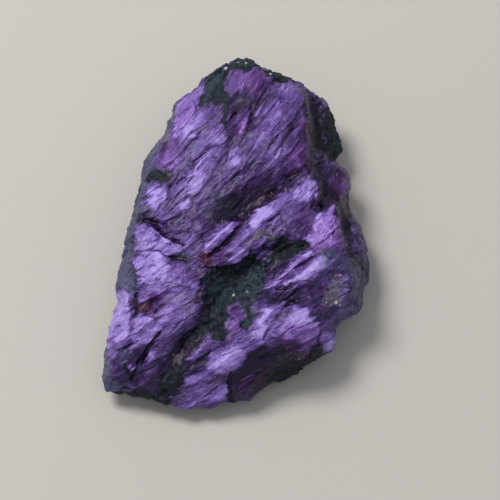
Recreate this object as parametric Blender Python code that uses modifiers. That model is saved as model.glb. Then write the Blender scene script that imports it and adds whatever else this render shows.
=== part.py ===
"""Rough purpurite: one broken, splintery lump of violet manganese phosphate.

The stone is a single piece, lying on a small flat spot of its underside with its broad face up.
Its form is drawn as lines: rims, crests, ledges, gullies and hollows. Each point of a line names
the pixel of the photograph in which it shows and its height above the ground in millimetres.
Splinter plates and chips then break the plain facets between the lines.
"""

import math

import bmesh
import bpy
from mathutils import Vector, bvhtree, geometry, noise

MM = 0.001

# The stone's own size: its width drives every length across it
STONE_WIDTH = 31.0 * MM
WIDTH_PX = 263
PIXEL = STONE_WIDTH / WIDTH_PX
# The eye that sees the pixels looks down at the stone from in front of it
EYE_ELEVATION = math.radians(62)
# The pixel in which the ground under the middle of the stone would show
CENTRE_PX = (236.9, 247.1)

# Fineness of the solid
BLANK_VOXEL = 0.3 * MM
ROUNDING_STEPS = 2
ROUNDING_SHARE = 0.5
SOLID_TRIANGLES = 8600
SMALLEST_EDGE = 0.01 * MM

# The outline as the eye sees it, clockwise from the nub at the top
RIM = (
    (238, 54, 6.6), (247, 52, 6.8), (254, 56, 6.8), (258, 61, 6.9), (267, 66, 7.0), (278, 68, 7.2),
    (290, 73, 7.0), (301, 79, 6.8), (311, 87, 6.4), (320, 93, 6.0), (328, 96, 5.4), (333, 103, 5.0),
    (336, 114, 4.6), (338, 124, 4.4), (342, 134, 4.2), (344, 144, 4.0), (340, 152, 3.6),
    (333, 159, 3.6), (339, 163, 4.6), (346, 168, 4.6), (350, 176, 4.4), (351, 187, 4.2),
    (349, 198, 4.0), (350, 208, 3.8), (355, 217, 3.8), (361, 226, 3.8), (364, 237, 3.8),
    (365, 248, 3.6), (367, 257, 3.6), (369, 268, 3.6), (368, 280, 3.4), (365, 291, 3.2),
    (362, 302, 3.0), (357, 311, 2.8), (348, 318, 2.6), (340, 322, 2.6), (336, 328, 2.6),
    (334, 338, 2.4), (331, 346, 2.2), (322, 353, 2.0), (314, 360, 1.8), (306, 366, 1.6),
    (296, 373, 1.5), (284, 378, 1.5), (273, 381, 1.5), (262, 388, 1.6), (250, 396, 1.7),
    (236, 401, 1.8), (218, 403, 1.9), (200, 406, 2.0), (184, 407, 2.0), (168, 405, 2.0),
    (156, 400, 2.0), (145, 396, 2.0), (133, 395, 2.0), (122, 392, 2.1), (110, 388, 2.3),
    (105, 378, 2.6), (105, 365, 2.8), (105, 353, 3.0), (108, 340, 3.2), (111, 327, 3.3),
    (114, 313, 3.4), (116, 300, 3.4), (116, 286, 3.4), (118, 272, 3.6), (121, 257, 3.8),
    (125, 241, 4.0), (128, 226, 4.2), (131, 211, 4.4), (135, 195, 4.6), (139, 179, 4.8),
    (143, 163, 5.0), (150, 149, 5.2), (160, 135, 5.4), (167, 123, 5.6), (170, 110, 5.8),
    (174, 98, 6.0), (184, 89, 6.2), (194, 82, 6.4), (203, 71, 6.4), (214, 64, 6.4), (227, 58, 6.5),
)

# Lines of the broad face
FACE_LINES = {
    "left_shoulder": (
        (184, 98, 8.6), (176, 104, 8.3), (172, 115, 8.3), (171, 128, 8.4), (164, 140, 8.4),
        (158, 152, 8.3), (152, 165, 8.2), (148, 179, 8.2), (144, 193, 8.2), (140, 207, 8.0),
    ),
    "back_shoulder": (
        (195, 93, 8.8), (207, 84, 8.8), (221, 74, 8.6), (238, 66, 8.7), (254, 67, 9.1),
        (268, 75, 9.6), (284, 82, 10.1), (298, 90, 10.6),
    ),
    "east_crest": (
        (298, 90, 10.6), (305, 100, 11.0), (308, 113, 11.4), (307, 128, 11.8), (306, 142, 11.8),
        (304, 155, 11.5), (303, 166, 11.2), (310, 172, 11.0), (316, 180, 10.9), (317, 192, 10.8),
        (314, 204, 10.3), (309, 213, 10.0),
    ),
    "east_hollow": (
        (311, 97, 7.8), (315, 112, 6.8), (316, 128, 6.5), (315, 142, 6.7), (313, 150, 7.8),
    ),
    "east_outer_swell": (
        (321, 99, 7.2), (328, 105, 7.0), (329, 118, 6.7), (330, 132, 6.3), (332, 146, 5.6),
    ),
    "east_block_top": (
        (309, 153, 9.2), (321, 158, 8.6), (332, 165, 8.0), (343, 171, 7.2),
    ),
    "east_block_foot": (
        (313, 166, 8.8), (321, 176, 8.2), (322, 190, 7.8), (321, 203, 7.7),
    ),
    "east_block_crest": (
        (334, 178, 8.0), (343, 184, 7.3), (344, 197, 6.7), (342, 208, 6.4),
    ),
    "spur_edge": (
        (333, 206, 9.9), (335, 218, 9.9), (336, 230, 9.7), (338, 242, 9.5), (343, 254, 9.1),
        (347, 266, 8.7), (350, 280, 8.4), (349, 294, 7.9), (343, 306, 7.1), (336, 314, 6.3),
    ),
    "spur_left": (
        (333, 206, 9.9), (323, 215, 9.6), (314, 227, 9.7), (306, 241, 9.8),
    ),
    "spur_foot": (
        (340, 213, 7.2), (343, 227, 6.9), (347, 240, 6.7), (352, 252, 6.6), (356, 265, 6.5),
    ),
    "outer_ridge": (
        (349, 221, 6.6), (356, 233, 6.8), (359, 246, 6.6), (363, 260, 6.1),
    ),
    "trough_brow": (
        (290, 158, 11.9), (276, 166, 11.6), (262, 175, 11.3), (250, 178, 11.2), (236, 187, 10.9),
        (226, 190, 10.8), (214, 199, 10.5), (200, 211, 10.1), (192, 229, 9.8),
    ),
    "trough_wall": (
        (292, 167, 11.0), (277, 178, 10.6), (263, 186, 10.3), (251, 191, 10.2), (238, 199, 9.9),
        (226, 205, 9.8), (212, 215, 9.7),
    ),
    "trough": (
        (296, 176, 10.2), (283, 186, 9.7), (272, 195, 9.4), (258, 201, 9.2), (248, 209, 9.0),
        (236, 214, 9.0), (225, 220, 9.2), (214, 228, 9.4), (203, 239, 9.5),
    ),
    "trough_far_ridge": (
        (305, 187, 10.9), (291, 197, 10.8), (278, 207, 10.8), (268, 213, 10.8), (258, 223, 10.8),
        (249, 231, 10.6), (240, 240, 10.5), (231, 248, 10.4), (221, 257, 10.2),
    ),
    "crevice": (
        (247, 219, 9.8), (241, 228, 9.5), (233, 237, 9.4), (226, 245, 9.4), (217, 253, 9.5),
    ),
    "crevice_near_lip": (
        (236, 219, 10.2), (229, 229, 10.5), (221, 238, 10.5), (212, 247, 10.3), (205, 257, 10.0),
    ),
    "pocket_brow": (
        (205, 266, 9.6), (212, 268, 9.5), (221, 262, 9.8), (229, 266, 9.6), (238, 261, 9.8),
        (243, 254, 9.9), (250, 253, 9.8), (259, 243, 10.1), (268, 242, 10.0), (277, 236, 10.2),
        (289, 240, 10.0), (302, 241, 9.9),
    ),
    "pocket_wall_foot": (
        (212, 275, 8.5), (222, 270, 8.3), (232, 273, 8.0), (243, 267, 8.0), (248, 261, 8.2),
        (257, 258, 8.3), (265, 250, 8.7), (275, 250, 8.8), (289, 248, 8.9), (301, 250, 9.1),
    ),
    "pocket_floor": (
        (250, 271, 7.8), (240, 282, 7.4), (226, 289, 7.4), (217, 304, 7.3), (217, 320, 7.2),
        (220, 334, 7.3),
    ),
    "pocket_west_lip": (
        (205, 277, 9.0), (206, 290, 8.8), (206, 304, 8.5), (205, 315, 8.2),
    ),
    "pocket_east_lip": (
        (265, 265, 8.9), (263, 278, 9.1), (259, 289, 9.0), (253, 298, 8.7), (251, 310, 8.6),
        (251, 322, 8.5),
    ),
    "tongue": (
        (228, 312, 8.3), (233, 305, 8.6), (243, 304, 8.7), (244, 315, 8.7), (239, 328, 8.7),
        (231, 338, 8.4),
    ),
    "streak_ridge_one": (
        (268, 286, 9.2), (279, 277, 9.4), (290, 268, 9.7), (301, 260, 9.9), (312, 253, 9.9),
    ),
    "streak_groove": (
        (279, 287, 8.8), (291, 278, 8.9), (302, 269, 9.1), (313, 260, 9.3),
    ),
    "streak_ridge_two": (
        (287, 290, 9.1), (299, 281, 9.6), (311, 272, 9.9), (322, 263, 10.1), (332, 256, 9.8),
    ),
    "east_sag": (
        (296, 299, 8.3), (308, 294, 8.5), (319, 288, 8.4), (329, 278, 8.5), (337, 270, 8.6),
    ),
    "tan_hollow": (
        (318, 304, 8.1), (328, 298, 7.9), (335, 292, 8.0),
    ),
    "low_groove": (
        (264, 297, 8.5), (274, 298, 8.3), (286, 300, 8.2),
    ),
    "east_plate_top": (
        (278, 327, 8.9), (284, 317, 9.2), (292, 308, 9.3), (302, 310, 9.2), (312, 316, 8.8),
        (319, 323, 8.3),
    ),
    "east_plate_foot": (
        (276, 341, 7.7), (288, 347, 7.1), (300, 350, 6.5), (312, 348, 6.1), (318, 338, 6.8),
    ),
    "corner_knob": (
        (321, 331, 7.1), (327, 328, 6.7), (330, 336, 6.0), (326, 344, 5.3), (320, 347, 5.1),
    ),
    "south_belt": (
        (265, 305, 8.7), (262, 317, 8.7), (254, 328, 8.3), (243, 340, 7.7), (231, 346, 7.2),
        (219, 352, 6.7), (207, 361, 6.0), (197, 371, 5.4),
    ),
    "south_belt_foot": (
        (268, 331, 8.1), (260, 342, 7.3), (250, 353, 6.4), (242, 364, 5.6), (235, 375, 4.9),
    ),
    "south_slope": (
        (290, 357, 5.2), (275, 360, 5.4), (264, 368, 4.9), (255, 378, 4.2), (245, 388, 3.5),
    ),
    "south_flank_brow": (
        (319, 351, 4.4), (306, 359, 3.8), (293, 364, 3.5), (281, 369, 3.2), (271, 375, 3.1),
    ),
    "south_brow": (
        (230, 391, 3.4), (214, 394, 3.2), (199, 397, 2.9), (184, 398, 2.8), (170, 396, 2.8),
        (156, 391, 3.0), (142, 387, 3.2), (129, 384, 3.5), (117, 379, 3.8),
    ),
    "south_shelf": (
        (222, 372, 5.4), (207, 379, 4.7), (193, 384, 4.2),
    ),
    "gully": (
        (206, 319, 7.6), (198, 328, 7.1), (189, 338, 6.5), (181, 348, 5.9), (175, 358, 5.3),
        (170, 368, 4.7), (165, 378, 4.1),
    ),
    "gully_west_lip": (
        (198, 310, 8.6), (190, 319, 8.3), (180, 329, 7.8), (173, 339, 7.3), (166, 349, 6.7),
        (161, 359, 6.1), (156, 370, 5.4),
    ),
    "gully_east_lip": (
        (216, 340, 7.3), (204, 347, 7.0), (194, 355, 6.4), (186, 364, 5.8), (180, 375, 5.1),
    ),
    "split": (
        (164, 330, 7.4), (157, 338, 6.8), (151, 348, 6.2), (144, 357, 5.7), (140, 367, 5.2),
    ),
    "split_west_lip": (
        (156, 329, 8.0), (150, 338, 7.4), (144, 348, 6.7), (137, 356, 6.1),
    ),
    "split_east_lip": (
        (168, 334, 7.8), (162, 342, 7.3), (156, 352, 6.6), (149, 362, 6.0),
    ),
    "west_facet_edge": (
        (131, 290, 7.6), (131, 303, 7.8), (131, 317, 7.7), (130, 331, 7.1), (124, 341, 6.4),
        (117, 349, 5.7), (114, 360, 5.0), (113, 371, 4.4),
    ),
    "west_facet_step": (
        (136, 292, 7.3), (138, 303, 7.1), (137, 316, 7.5), (138, 330, 7.6), (133, 343, 6.8),
    ),
    "pit": (
        (143, 304, 7.5), (151, 303, 7.4),
    ),
    "pit_lip": (
        (141, 291, 8.2), (152, 287, 8.6), (163, 291, 8.8), (163, 303, 8.6), (158, 312, 8.5),
        (147, 312, 8.2),
    ),
    "notch_edge": (
        (133, 262, 7.3), (134, 275, 7.3), (136, 286, 7.6),
    ),
    "arc_ledge": (
        (135, 231, 8.3), (142, 228, 9.0), (151, 229, 9.3), (158, 234, 9.5), (164, 240, 9.6),
        (172, 244, 9.6), (181, 248, 9.5),
    ),
    "arc_groove": (
        (137, 221, 7.6), (147, 221, 8.0), (156, 226, 8.3), (163, 233, 8.5), (171, 238, 8.7),
        (181, 241, 8.9),
    ),
    "arc_upper_lip": (
        (140, 212, 8.0), (151, 213, 8.9), (161, 218, 9.3), (170, 226, 9.5), (180, 232, 9.6),
    ),
    "slit": (
        (174, 257, 9.0), (184, 259, 9.0), (194, 262, 9.1),
    ),
}

# Single heights of the broad face, between the lines
FACE_SPOTS = (
    (190, 118, 9.6), (207, 106, 9.5), (222, 96, 9.8), (242, 84, 9.9), (262, 90, 10.3),
    (280, 98, 10.9), (292, 112, 11.6), (272, 120, 11.8), (252, 108, 11.0), (232, 116, 10.6),
    (212, 128, 10.4), (246, 136, 11.6), (226, 152, 11.2), (206, 146, 10.6), (188, 142, 9.9),
    (176, 150, 9.4), (192, 168, 10.1), (212, 176, 10.6), (234, 170, 11.3), (256, 160, 12.0),
    (276, 148, 12.3), (291, 136, 12.2), (168, 170, 9.1), (158, 190, 8.8), (172, 196, 9.5),
    (186, 190, 10.0), (160, 206, 9.0), (178, 214, 9.6), (276, 222, 10.6), (288, 218, 10.5),
    (300, 212, 10.3), (266, 232, 10.4), (240, 252, 10.1), (224, 258, 10.0), (292, 230, 10.3),
    (146, 246, 9.2), (160, 254, 9.6), (150, 268, 9.3), (168, 272, 9.5), (184, 276, 9.4),
    (196, 288, 9.2), (176, 292, 9.1), (188, 304, 9.0), (172, 312, 8.8), (154, 322, 8.4),
    (146, 280, 8.7), (300, 326, 8.9), (290, 331, 8.7), (276, 312, 8.8), (340, 284, 8.2),
    (322, 246, 9.8), (326, 232, 9.9), (148, 376, 5.0), (132, 366, 5.6), (124, 356, 5.8),
    (228, 362, 6.6), (212, 368, 5.9), (232, 324, 8.4), (206, 334, 7.4), (272, 268, 8.7),
    (284, 257, 8.9), (278, 346, 6.9), (238, 290, 7.6),
)

# The flat spot that the stone rests on is cut at the ground, through this lowest facet
FOOT = (
    (212, 230, -0.3), (240, 219, -0.3), (267, 231, -0.3), (278, 254, -0.3), (266, 279, -0.3),
    (234, 288, -0.3), (208, 276, -0.3), (201, 250, -0.3),
)
# Lines of the underside, at the pixels in which they would show if the stone were clear
UNDER_LINES = {
    "keel": (
        (240, 190, 0.5), (248, 160, 1.1), (244, 128, 1.8), (250, 98, 2.5), (246, 74, 3.3),
    ),
    "back_hollow": (
        (212, 176, 1.6), (204, 146, 2.8), (212, 116, 3.4), (222, 88, 3.7),
    ),
    "east_keel": (
        (298, 214, 0.7), (320, 196, 1.7), (334, 184, 2.8),
    ),
    "east_undercut": (
        (282, 178, 1.4), (298, 150, 2.2), (312, 124, 2.6), (320, 106, 2.9),
    ),
    "west_break": (
        (176, 250, 0.9), (158, 246, 1.7), (144, 262, 2.4), (132, 282, 2.7),
    ),
    "west_hollow": (
        (178, 206, 1.7), (164, 184, 2.7), (158, 164, 3.3),
    ),
    "south_keel": (
        (206, 306, 0.5), (188, 330, 0.9), (168, 352, 1.1), (146, 370, 1.4), (126, 378, 1.8),
    ),
    "south_break": (
        (244, 316, 0.6), (250, 344, 0.7), (256, 368, 0.9),
    ),
    "south_east_break": (
        (296, 292, 0.6), (312, 318, 1.0), (322, 338, 1.5),
    ),
    "east_break": (
        (308, 252, 0.9), (334, 262, 1.8), (352, 276, 2.7),
    ),
}
UNDER_SPOTS = (
    (150, 318, 1.9), (124, 334, 2.6), (214, 372, 1.3), (286, 340, 0.8), (338, 226, 2.6),
    (190, 110, 4.0), (282, 90, 3.4), (228, 140, 2.5), (270, 138, 2.0), (336, 300, 2.0),
)

# The grain runs from lower left to upper right, steeper towards the top of the face
GRAIN_TOP_PX, GRAIN_TOP_ANGLE = 90, math.radians(60)
GRAIN_LOW_PX, GRAIN_LOW_ANGLE = 290, math.radians(33)
GRAIN_TURN = (GRAIN_LOW_ANGLE - GRAIN_TOP_ANGLE) / (GRAIN_LOW_PX - GRAIN_TOP_PX)
# The fibre that the grain fans out from passes through this pixel
GRAIN_MIDDLE = (237, 228)

# Splinter plates: width across the grain, length along it, thickness, and how far they stand out
PLATE_SIZE = (1.7 * MM, 7.0 * MM, 2.4 * MM)
PLATE_HEIGHT = 0.30 * MM
# How much of a plate's height is its step, and how much its tilt
PLATE_STEP = 0.5
PLATE_TILT = 0.6
# On the steep sides the plates are seen end on and stand out less
SIDE_PLATES = 0.45
# Each splinter breaks off at its own place along the grain, and lifts or drops the face there
TEAR_SIZE = (1.1 * MM, 5.0 * MM, 2.0 * MM)
TEAR_SLIP = 0.8 * MM
TEAR_STEP = 0.45 * MM
# Slopes are told by the upward part of the normal: tears need a broad slope, chips a steep one
TEAR_SLOPES = (0.4, 0.8)
CHIP_SLOPES = (0.6, 0.0)
# The sides and the underside are broken in chips without grain
CHIP_SIZE = 2.1 * MM
CHIP_HEIGHT = 0.32 * MM
# Rounded swells and crumbs over the whole stone: size and height
SWELL = (3.4 * MM, 0.26 * MM)
CRUMB = (1.3 * MM, 0.14 * MM)
# The green-black pocket is all crumbs: its middle and half its width and height, in pixels
POCKET_MIDDLE = (236, 286)
POCKET_HALVES = (30, 44)
POCKET_CRUMB = (0.9 * MM, 0.34 * MM)
POCKET_PLATES = 0.4
# The pocket lies in the broad face, which is all above this height
FACE_LEVEL = 7.0 * MM
# Below this height the underside grows calm towards the flat spot
CALM_LEVEL = 1.2 * MM
# What the rounding takes off the edges is given back over the whole surface
ROUNDING_LOSS = 0.10 * MM
# A place in the noise well away from the first one
ELSEWHERE = Vector((37, 59, 83))
# A height in millimetres above all of the stone, from which its facets are looked down on
ABOVE_ALL = 50


def mix(first, second, share):
    """A value between two, by the share of the second."""
    return first + (second - first) * share


def limit(value, low=0, high=1):
    """A value kept between two others."""
    return min(max(value, low), high)


def ramp(value, start, end):
    """Rises evenly from 0 at the start to 1 at the end, which may be the lower of the two."""
    return limit((value - start) / (end - start))


def place(px, py, height_mm):
    """The point that the eye sees at a pixel, at a height above the ground."""
    height = height_mm * MM
    up_photo = (CENTRE_PX[1] - py) * PIXEL
    y = (up_photo - height * math.cos(EYE_ELEVATION)) / math.sin(EYE_ELEVATION)
    return Vector(((px - CENTRE_PX[0]) * PIXEL, y, height))


def pixel_of(point):
    """The pixel in which a point of the stone shows."""
    up_photo = point.y * math.sin(EYE_ELEVATION) + point.z * math.cos(EYE_ELEVATION)
    return point.x / PIXEL + CENTRE_PX[0], CENTRE_PX[1] - up_photo / PIXEL


def sheet(lines, spots):
    """Triangles through the rim, the lines and the spots of one side, as (points, faces)."""
    flat, heights, edges = [], [], []
    numbers = {}
    for line in ((*RIM, RIM[0]), *lines, *((spot,) for spot in spots)):
        row = []
        for px, py, height in line:
            if (px, py) not in numbers:
                numbers[px, py] = len(flat)
                flat.append(Vector((px, py)))
                heights.append(height)
            row.append(numbers[px, py])
        edges += zip(row, row[1:])
    border = [list(range(len(RIM)))]
    points, _, faces, sources, *_ = geometry.delaunay_2d_cdt(flat, edges, border, 1, 0.01)

    def height_of(point, drawn):
        nearest = drawn[0] if drawn else min(numbers.values(), key=lambda n: (flat[n] - point).length)
        return heights[nearest]

    corners = [(*point, height_of(point, drawn)) for point, drawn in zip(points, sources)]
    return corners, faces


def cage(face, under):
    """The stone as a closed mesh of plain facets between its lines, from its two sheets."""
    facets = bmesh.new()
    for corners, faces in (face, under):
        verts = [facets.verts.new(place(*corner)) for corner in corners]
        for triangle in faces:
            facets.faces.new([verts[i] for i in triangle])
    bmesh.ops.remove_doubles(facets, verts=facets.verts, dist=SMALLEST_EDGE)
    bmesh.ops.recalc_face_normals(facets, faces=facets.faces)
    mesh = bpy.data.meshes.new("purpurite_stone")
    facets.to_mesh(mesh)
    facets.free()
    return mesh


def modify(obj, kind, **settings):
    """Adds a modifier to an object and bakes it into its mesh."""
    modifier = obj.modifiers.new(kind.title(), kind)
    for name, value in settings.items():
        setattr(modifier, name, value)
    graph = bpy.context.evaluated_depsgraph_get()
    mesh = bpy.data.meshes.new_from_object(obj.evaluated_get(graph))
    obj.modifiers.clear()
    obj.data = mesh


def grain_angle(py):
    """The grain's angle from the rows of the picture, at a row."""
    return GRAIN_TOP_ANGLE + GRAIN_TURN * (limit(py, GRAIN_TOP_PX, GRAIN_LOW_PX) - GRAIN_TOP_PX)


def grain_drift(py):
    """How far to the left a fibre has run by a row, in pixels."""
    beyond = py - limit(py, GRAIN_TOP_PX, GRAIN_LOW_PX)
    return math.log(math.sin(grain_angle(py))) / GRAIN_TURN + beyond / math.tan(grain_angle(py))


def in_grain(point, size):
    """A point counted in cells of a size: across the grain, along it, and up."""
    px, py = pixel_of(point)
    middle_px, middle_py = GRAIN_MIDDLE
    off_middle = px + grain_drift(py) - middle_px - grain_drift(middle_py)
    across = off_middle * math.sin(grain_angle(py)) * PIXEL
    along = -py / math.sin(grain_angle(py)) * PIXEL
    return Vector((across / size[0], along / size[1], point.z / size[2]))


def slab(point):
    """The flat slab under a point, one to each unit cell: its height there, and its own number.

    Both run from about -1 to 1. Slabs meet in sharp steps, and tilt up to their far side in x.
    """
    _, middles = noise.voronoi(point)
    own = noise.cell(middles[0])
    tilt = 1 + noise.cell(middles[0] + ELSEWHERE)
    return PLATE_STEP * own + PLATE_TILT * tilt * (point.x - middles[0].x), own


def pocket_share(point):
    """How far inside the pocket a point lies, from 0 at its edge to 1 in its middle."""
    px, py = pixel_of(point)
    across = (px - POCKET_MIDDLE[0]) / POCKET_HALVES[0]
    down = (py - POCKET_MIDDLE[1]) / POCKET_HALVES[1]
    return limit(1 - across**2 - down**2) if point.z > FACE_LEVEL else 0


def outbreak(point, normal):
    """How far the broken surface stands out of the plain facets at a point, in metres."""
    pocket = pocket_share(point)
    plate, _ = slab(in_grain(point, PLATE_SIZE))
    proud = PLATE_HEIGHT * plate
    proud *= mix(SIDE_PLATES, 1, abs(normal.z)) * mix(1, POCKET_PLATES, pocket)
    chip, _ = slab(point / CHIP_SIZE)
    proud += CHIP_HEIGHT * chip * ramp(normal.z, *CHIP_SLOPES)
    for (size, height), share in ((SWELL, 1), (CRUMB, 1), (POCKET_CRUMB, pocket)):
        proud += share * height * noise.noise(point / size)
    return ROUNDING_LOSS + proud * ramp(point.z, 0, CALM_LEVEL)


def tear(point, normal, facets):
    """How far the splinters' broken ends lift or drop the broad face at a point, in metres."""
    _, own = slab(in_grain(point, TEAR_SIZE))
    px, py = pixel_of(point)
    slip = own * TEAR_SLIP / PIXEL
    angle = grain_angle(py)
    here = Vector((px, py, ABOVE_ALL))
    there = here + slip * Vector((math.cos(angle), -math.sin(angle), 0))
    own_facet, _, _, _ = facets.ray_cast(here, Vector((0, 0, -1)))
    slipped_facet, _, _, _ = facets.ray_cast(there, Vector((0, 0, -1)))
    if own_facet is None or slipped_facet is None:
        return 0
    step = (slipped_facet.z - own_facet.z) * MM
    return limit(step, -TEAR_STEP, TEAR_STEP) * ramp(normal.z, *TEAR_SLOPES)


def break_up(mesh, face):
    """Moves every point of a smooth blank to the broken surface."""
    facets = bvhtree.BVHTree.FromPolygons(*face)
    moved = []
    for vertex in mesh.vertices:
        out = vertex.co + vertex.normal * outbreak(vertex.co, vertex.normal)
        out.z += tear(vertex.co, vertex.normal, facets)
        moved.extend(out)
    mesh.vertices.foreach_set("co", moved)


def cut_foot(mesh):
    """Cuts the lowest facet off level with the ground, and closes the cut with a flat face."""
    work = bmesh.new()
    work.from_mesh(mesh)
    whole = [*work.verts, *work.edges, *work.faces]
    cut = bmesh.ops.bisect_plane(work, geom=whole, plane_no=(0, 0, -1), clear_outer=True)
    rim = [part for part in cut["geom_cut"] if isinstance(part, bmesh.types.BMEdge)]
    bmesh.ops.holes_fill(work, edges=rim, sides=0)
    bmesh.ops.dissolve_degenerate(work, edges=work.edges, dist=SMALLEST_EDGE)
    work.to_mesh(mesh)
    work.free()


def purpurite_material():
    """Violet, satiny phosphate."""
    material = bpy.data.materials.new("purpurite")
    material.use_nodes = True
    shader = material.node_tree.nodes["Principled BSDF"]
    shader.inputs["Base Color"].default_value = (0.17, 0.10, 0.36, 1)
    shader.inputs["Roughness"].default_value = 0.5
    shader.inputs["Metallic"].default_value = 0.0
    return material


def stone():
    """The whole lump, from its plain facets to its broken surface and its flat spot."""
    face = sheet(FACE_LINES.values(), FACE_SPOTS)
    under = sheet([(*FOOT, FOOT[0]), *UNDER_LINES.values()], UNDER_SPOTS)
    obj = bpy.data.objects.new("purpurite_stone", cage(face, under))
    collection = bpy.data.collections.new("rough purpurite")
    bpy.context.scene.collection.children.link(collection)
    collection.objects.link(obj)

    modify(obj, "REMESH", mode="VOXEL", voxel_size=BLANK_VOXEL)
    modify(obj, "SMOOTH", factor=ROUNDING_SHARE, iterations=ROUNDING_STEPS)
    break_up(obj.data, face)
    triangles = sum(len(polygon.vertices) - 2 for polygon in obj.data.polygons)
    modify(obj, "DECIMATE", ratio=SOLID_TRIANGLES / triangles, use_collapse_triangulate=True)
    cut_foot(obj.data)
    obj.data.materials.append(purpurite_material())


def clear_scene():
    """Removes every object that the file came with."""
    for obj in list(bpy.data.objects):
        bpy.data.objects.remove(obj)


clear_scene()
stone()
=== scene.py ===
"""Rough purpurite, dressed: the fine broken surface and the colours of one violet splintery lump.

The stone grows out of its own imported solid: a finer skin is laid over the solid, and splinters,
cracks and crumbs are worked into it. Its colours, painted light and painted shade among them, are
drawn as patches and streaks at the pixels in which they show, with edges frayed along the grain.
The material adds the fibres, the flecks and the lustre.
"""

import logging
import math
from dataclasses import dataclass
from enum import Enum
from typing import Iterable, Mapping, Sequence

import bpy
import numpy as np
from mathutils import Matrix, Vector, noise


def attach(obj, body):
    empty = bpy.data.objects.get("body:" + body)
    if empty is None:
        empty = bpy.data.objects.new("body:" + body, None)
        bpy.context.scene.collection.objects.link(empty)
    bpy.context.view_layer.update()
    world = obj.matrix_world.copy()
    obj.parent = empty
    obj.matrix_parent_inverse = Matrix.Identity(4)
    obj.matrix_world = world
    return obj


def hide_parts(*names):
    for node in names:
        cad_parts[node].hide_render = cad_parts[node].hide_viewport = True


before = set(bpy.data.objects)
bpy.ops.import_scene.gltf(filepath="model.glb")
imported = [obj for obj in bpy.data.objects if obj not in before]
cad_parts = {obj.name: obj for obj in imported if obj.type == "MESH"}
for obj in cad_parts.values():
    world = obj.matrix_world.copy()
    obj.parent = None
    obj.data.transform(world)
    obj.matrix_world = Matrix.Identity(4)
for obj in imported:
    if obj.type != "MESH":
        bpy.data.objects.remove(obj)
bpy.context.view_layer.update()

MM = 0.001
# A place in the noise well away from the first one
ELSEWHERE = Vector((37, 59, 83))

Pixel = tuple[float, float]
Colour = tuple[float, float, float]
Stops = tuple[tuple[float, Colour], ...]
log = logging.getLogger("rough_purpurite")


def ramp(value: np.ndarray, start: float, end: float) -> np.ndarray:
    """Rises smoothly from 0 at the start to 1 at the end, which may be the lower of the two.

    Args:
        value: The numbers to turn into shares.
        start: Where the share is 0.
        end: Where the share is 1.

    Returns:
        One share for each number.
    """
    share = np.clip((value - start) / (end - start), 0, 1)
    return share * share * (3 - 2 * share)


def mix(first: float | np.ndarray, second: float | np.ndarray, share: np.ndarray) -> np.ndarray:
    """A value between two, by the share of the second."""
    return first + (second - first) * share


@dataclass(frozen=True)
class PhotoView:
    """How the photograph sees the stone: where a point shows, and where the camera stands.

    The eye looks down from in front of the stone, and the stone's width gives the scale.
    """

    stone_width: float = 31.0 * MM
    width_px: float = 263
    elevation: float = math.radians(62)
    centre_px: Pixel = (236.9, 247.1)
    frame_px: float = 500
    aim_px: Pixel = (250, 250)
    aim_height: float = 5.0 * MM
    lens: float = 200.0
    film: float = 36.0
    nearest: float = 10 * MM
    furthest: float = 10.0

    @property
    def pixel(self) -> float:
        """The length on the stone that one pixel covers."""
        return self.stone_width / self.width_px

    @property
    def towards_eye(self) -> np.ndarray:
        """The direction from the stone to the eye."""
        return np.array((0, -math.cos(self.elevation), math.sin(self.elevation)))

    def pixels_of(self, points: np.ndarray) -> np.ndarray:
        """Where points show in the photograph.

        Args:
            points: One row for each point, in metres.

        Returns:
            One row for each point: its column and its row of pixels.
        """
        rise = points[:, 1] * math.sin(self.elevation) + points[:, 2] * math.cos(self.elevation)
        across = points[:, 0] / self.pixel + self.centre_px[0]
        return np.stack((across, self.centre_px[1] - rise / self.pixel), axis=1)

    def place(self, pixel: Pixel, height: float) -> Vector:
        """The point that shows at a pixel.

        Args:
            pixel: Its column and its row.
            height: The point's height above the ground, in metres.

        Returns:
            The point.
        """
        rise = (self.centre_px[1] - pixel[1]) * self.pixel
        y = (rise - height * math.cos(self.elevation)) / math.sin(self.elevation)
        return Vector(((pixel[0] - self.centre_px[0]) * self.pixel, y, height))

    def camera(self) -> bpy.types.Object:
        """Makes the camera that sees the photograph's frame, and gives it to the scene.

        Returns:
            The camera.
        """
        lens = bpy.data.cameras.new("photograph_camera")
        lens.lens = self.lens
        lens.sensor_width = self.film
        lens.clip_start = self.nearest
        lens.clip_end = self.furthest
        camera = bpy.data.objects.new("photograph_camera", lens)
        bpy.context.scene.collection.objects.link(camera)
        back = Vector(self.towards_eye)
        distance = self.frame_px * self.pixel * self.lens / self.film
        camera.location = self.place(self.aim_px, self.aim_height) + back * distance
        camera.rotation_mode = "QUATERNION"
        camera.rotation_quaternion = (-back).to_track_quat("-Z", "Y")
        bpy.context.scene.camera = camera
        return camera


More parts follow.
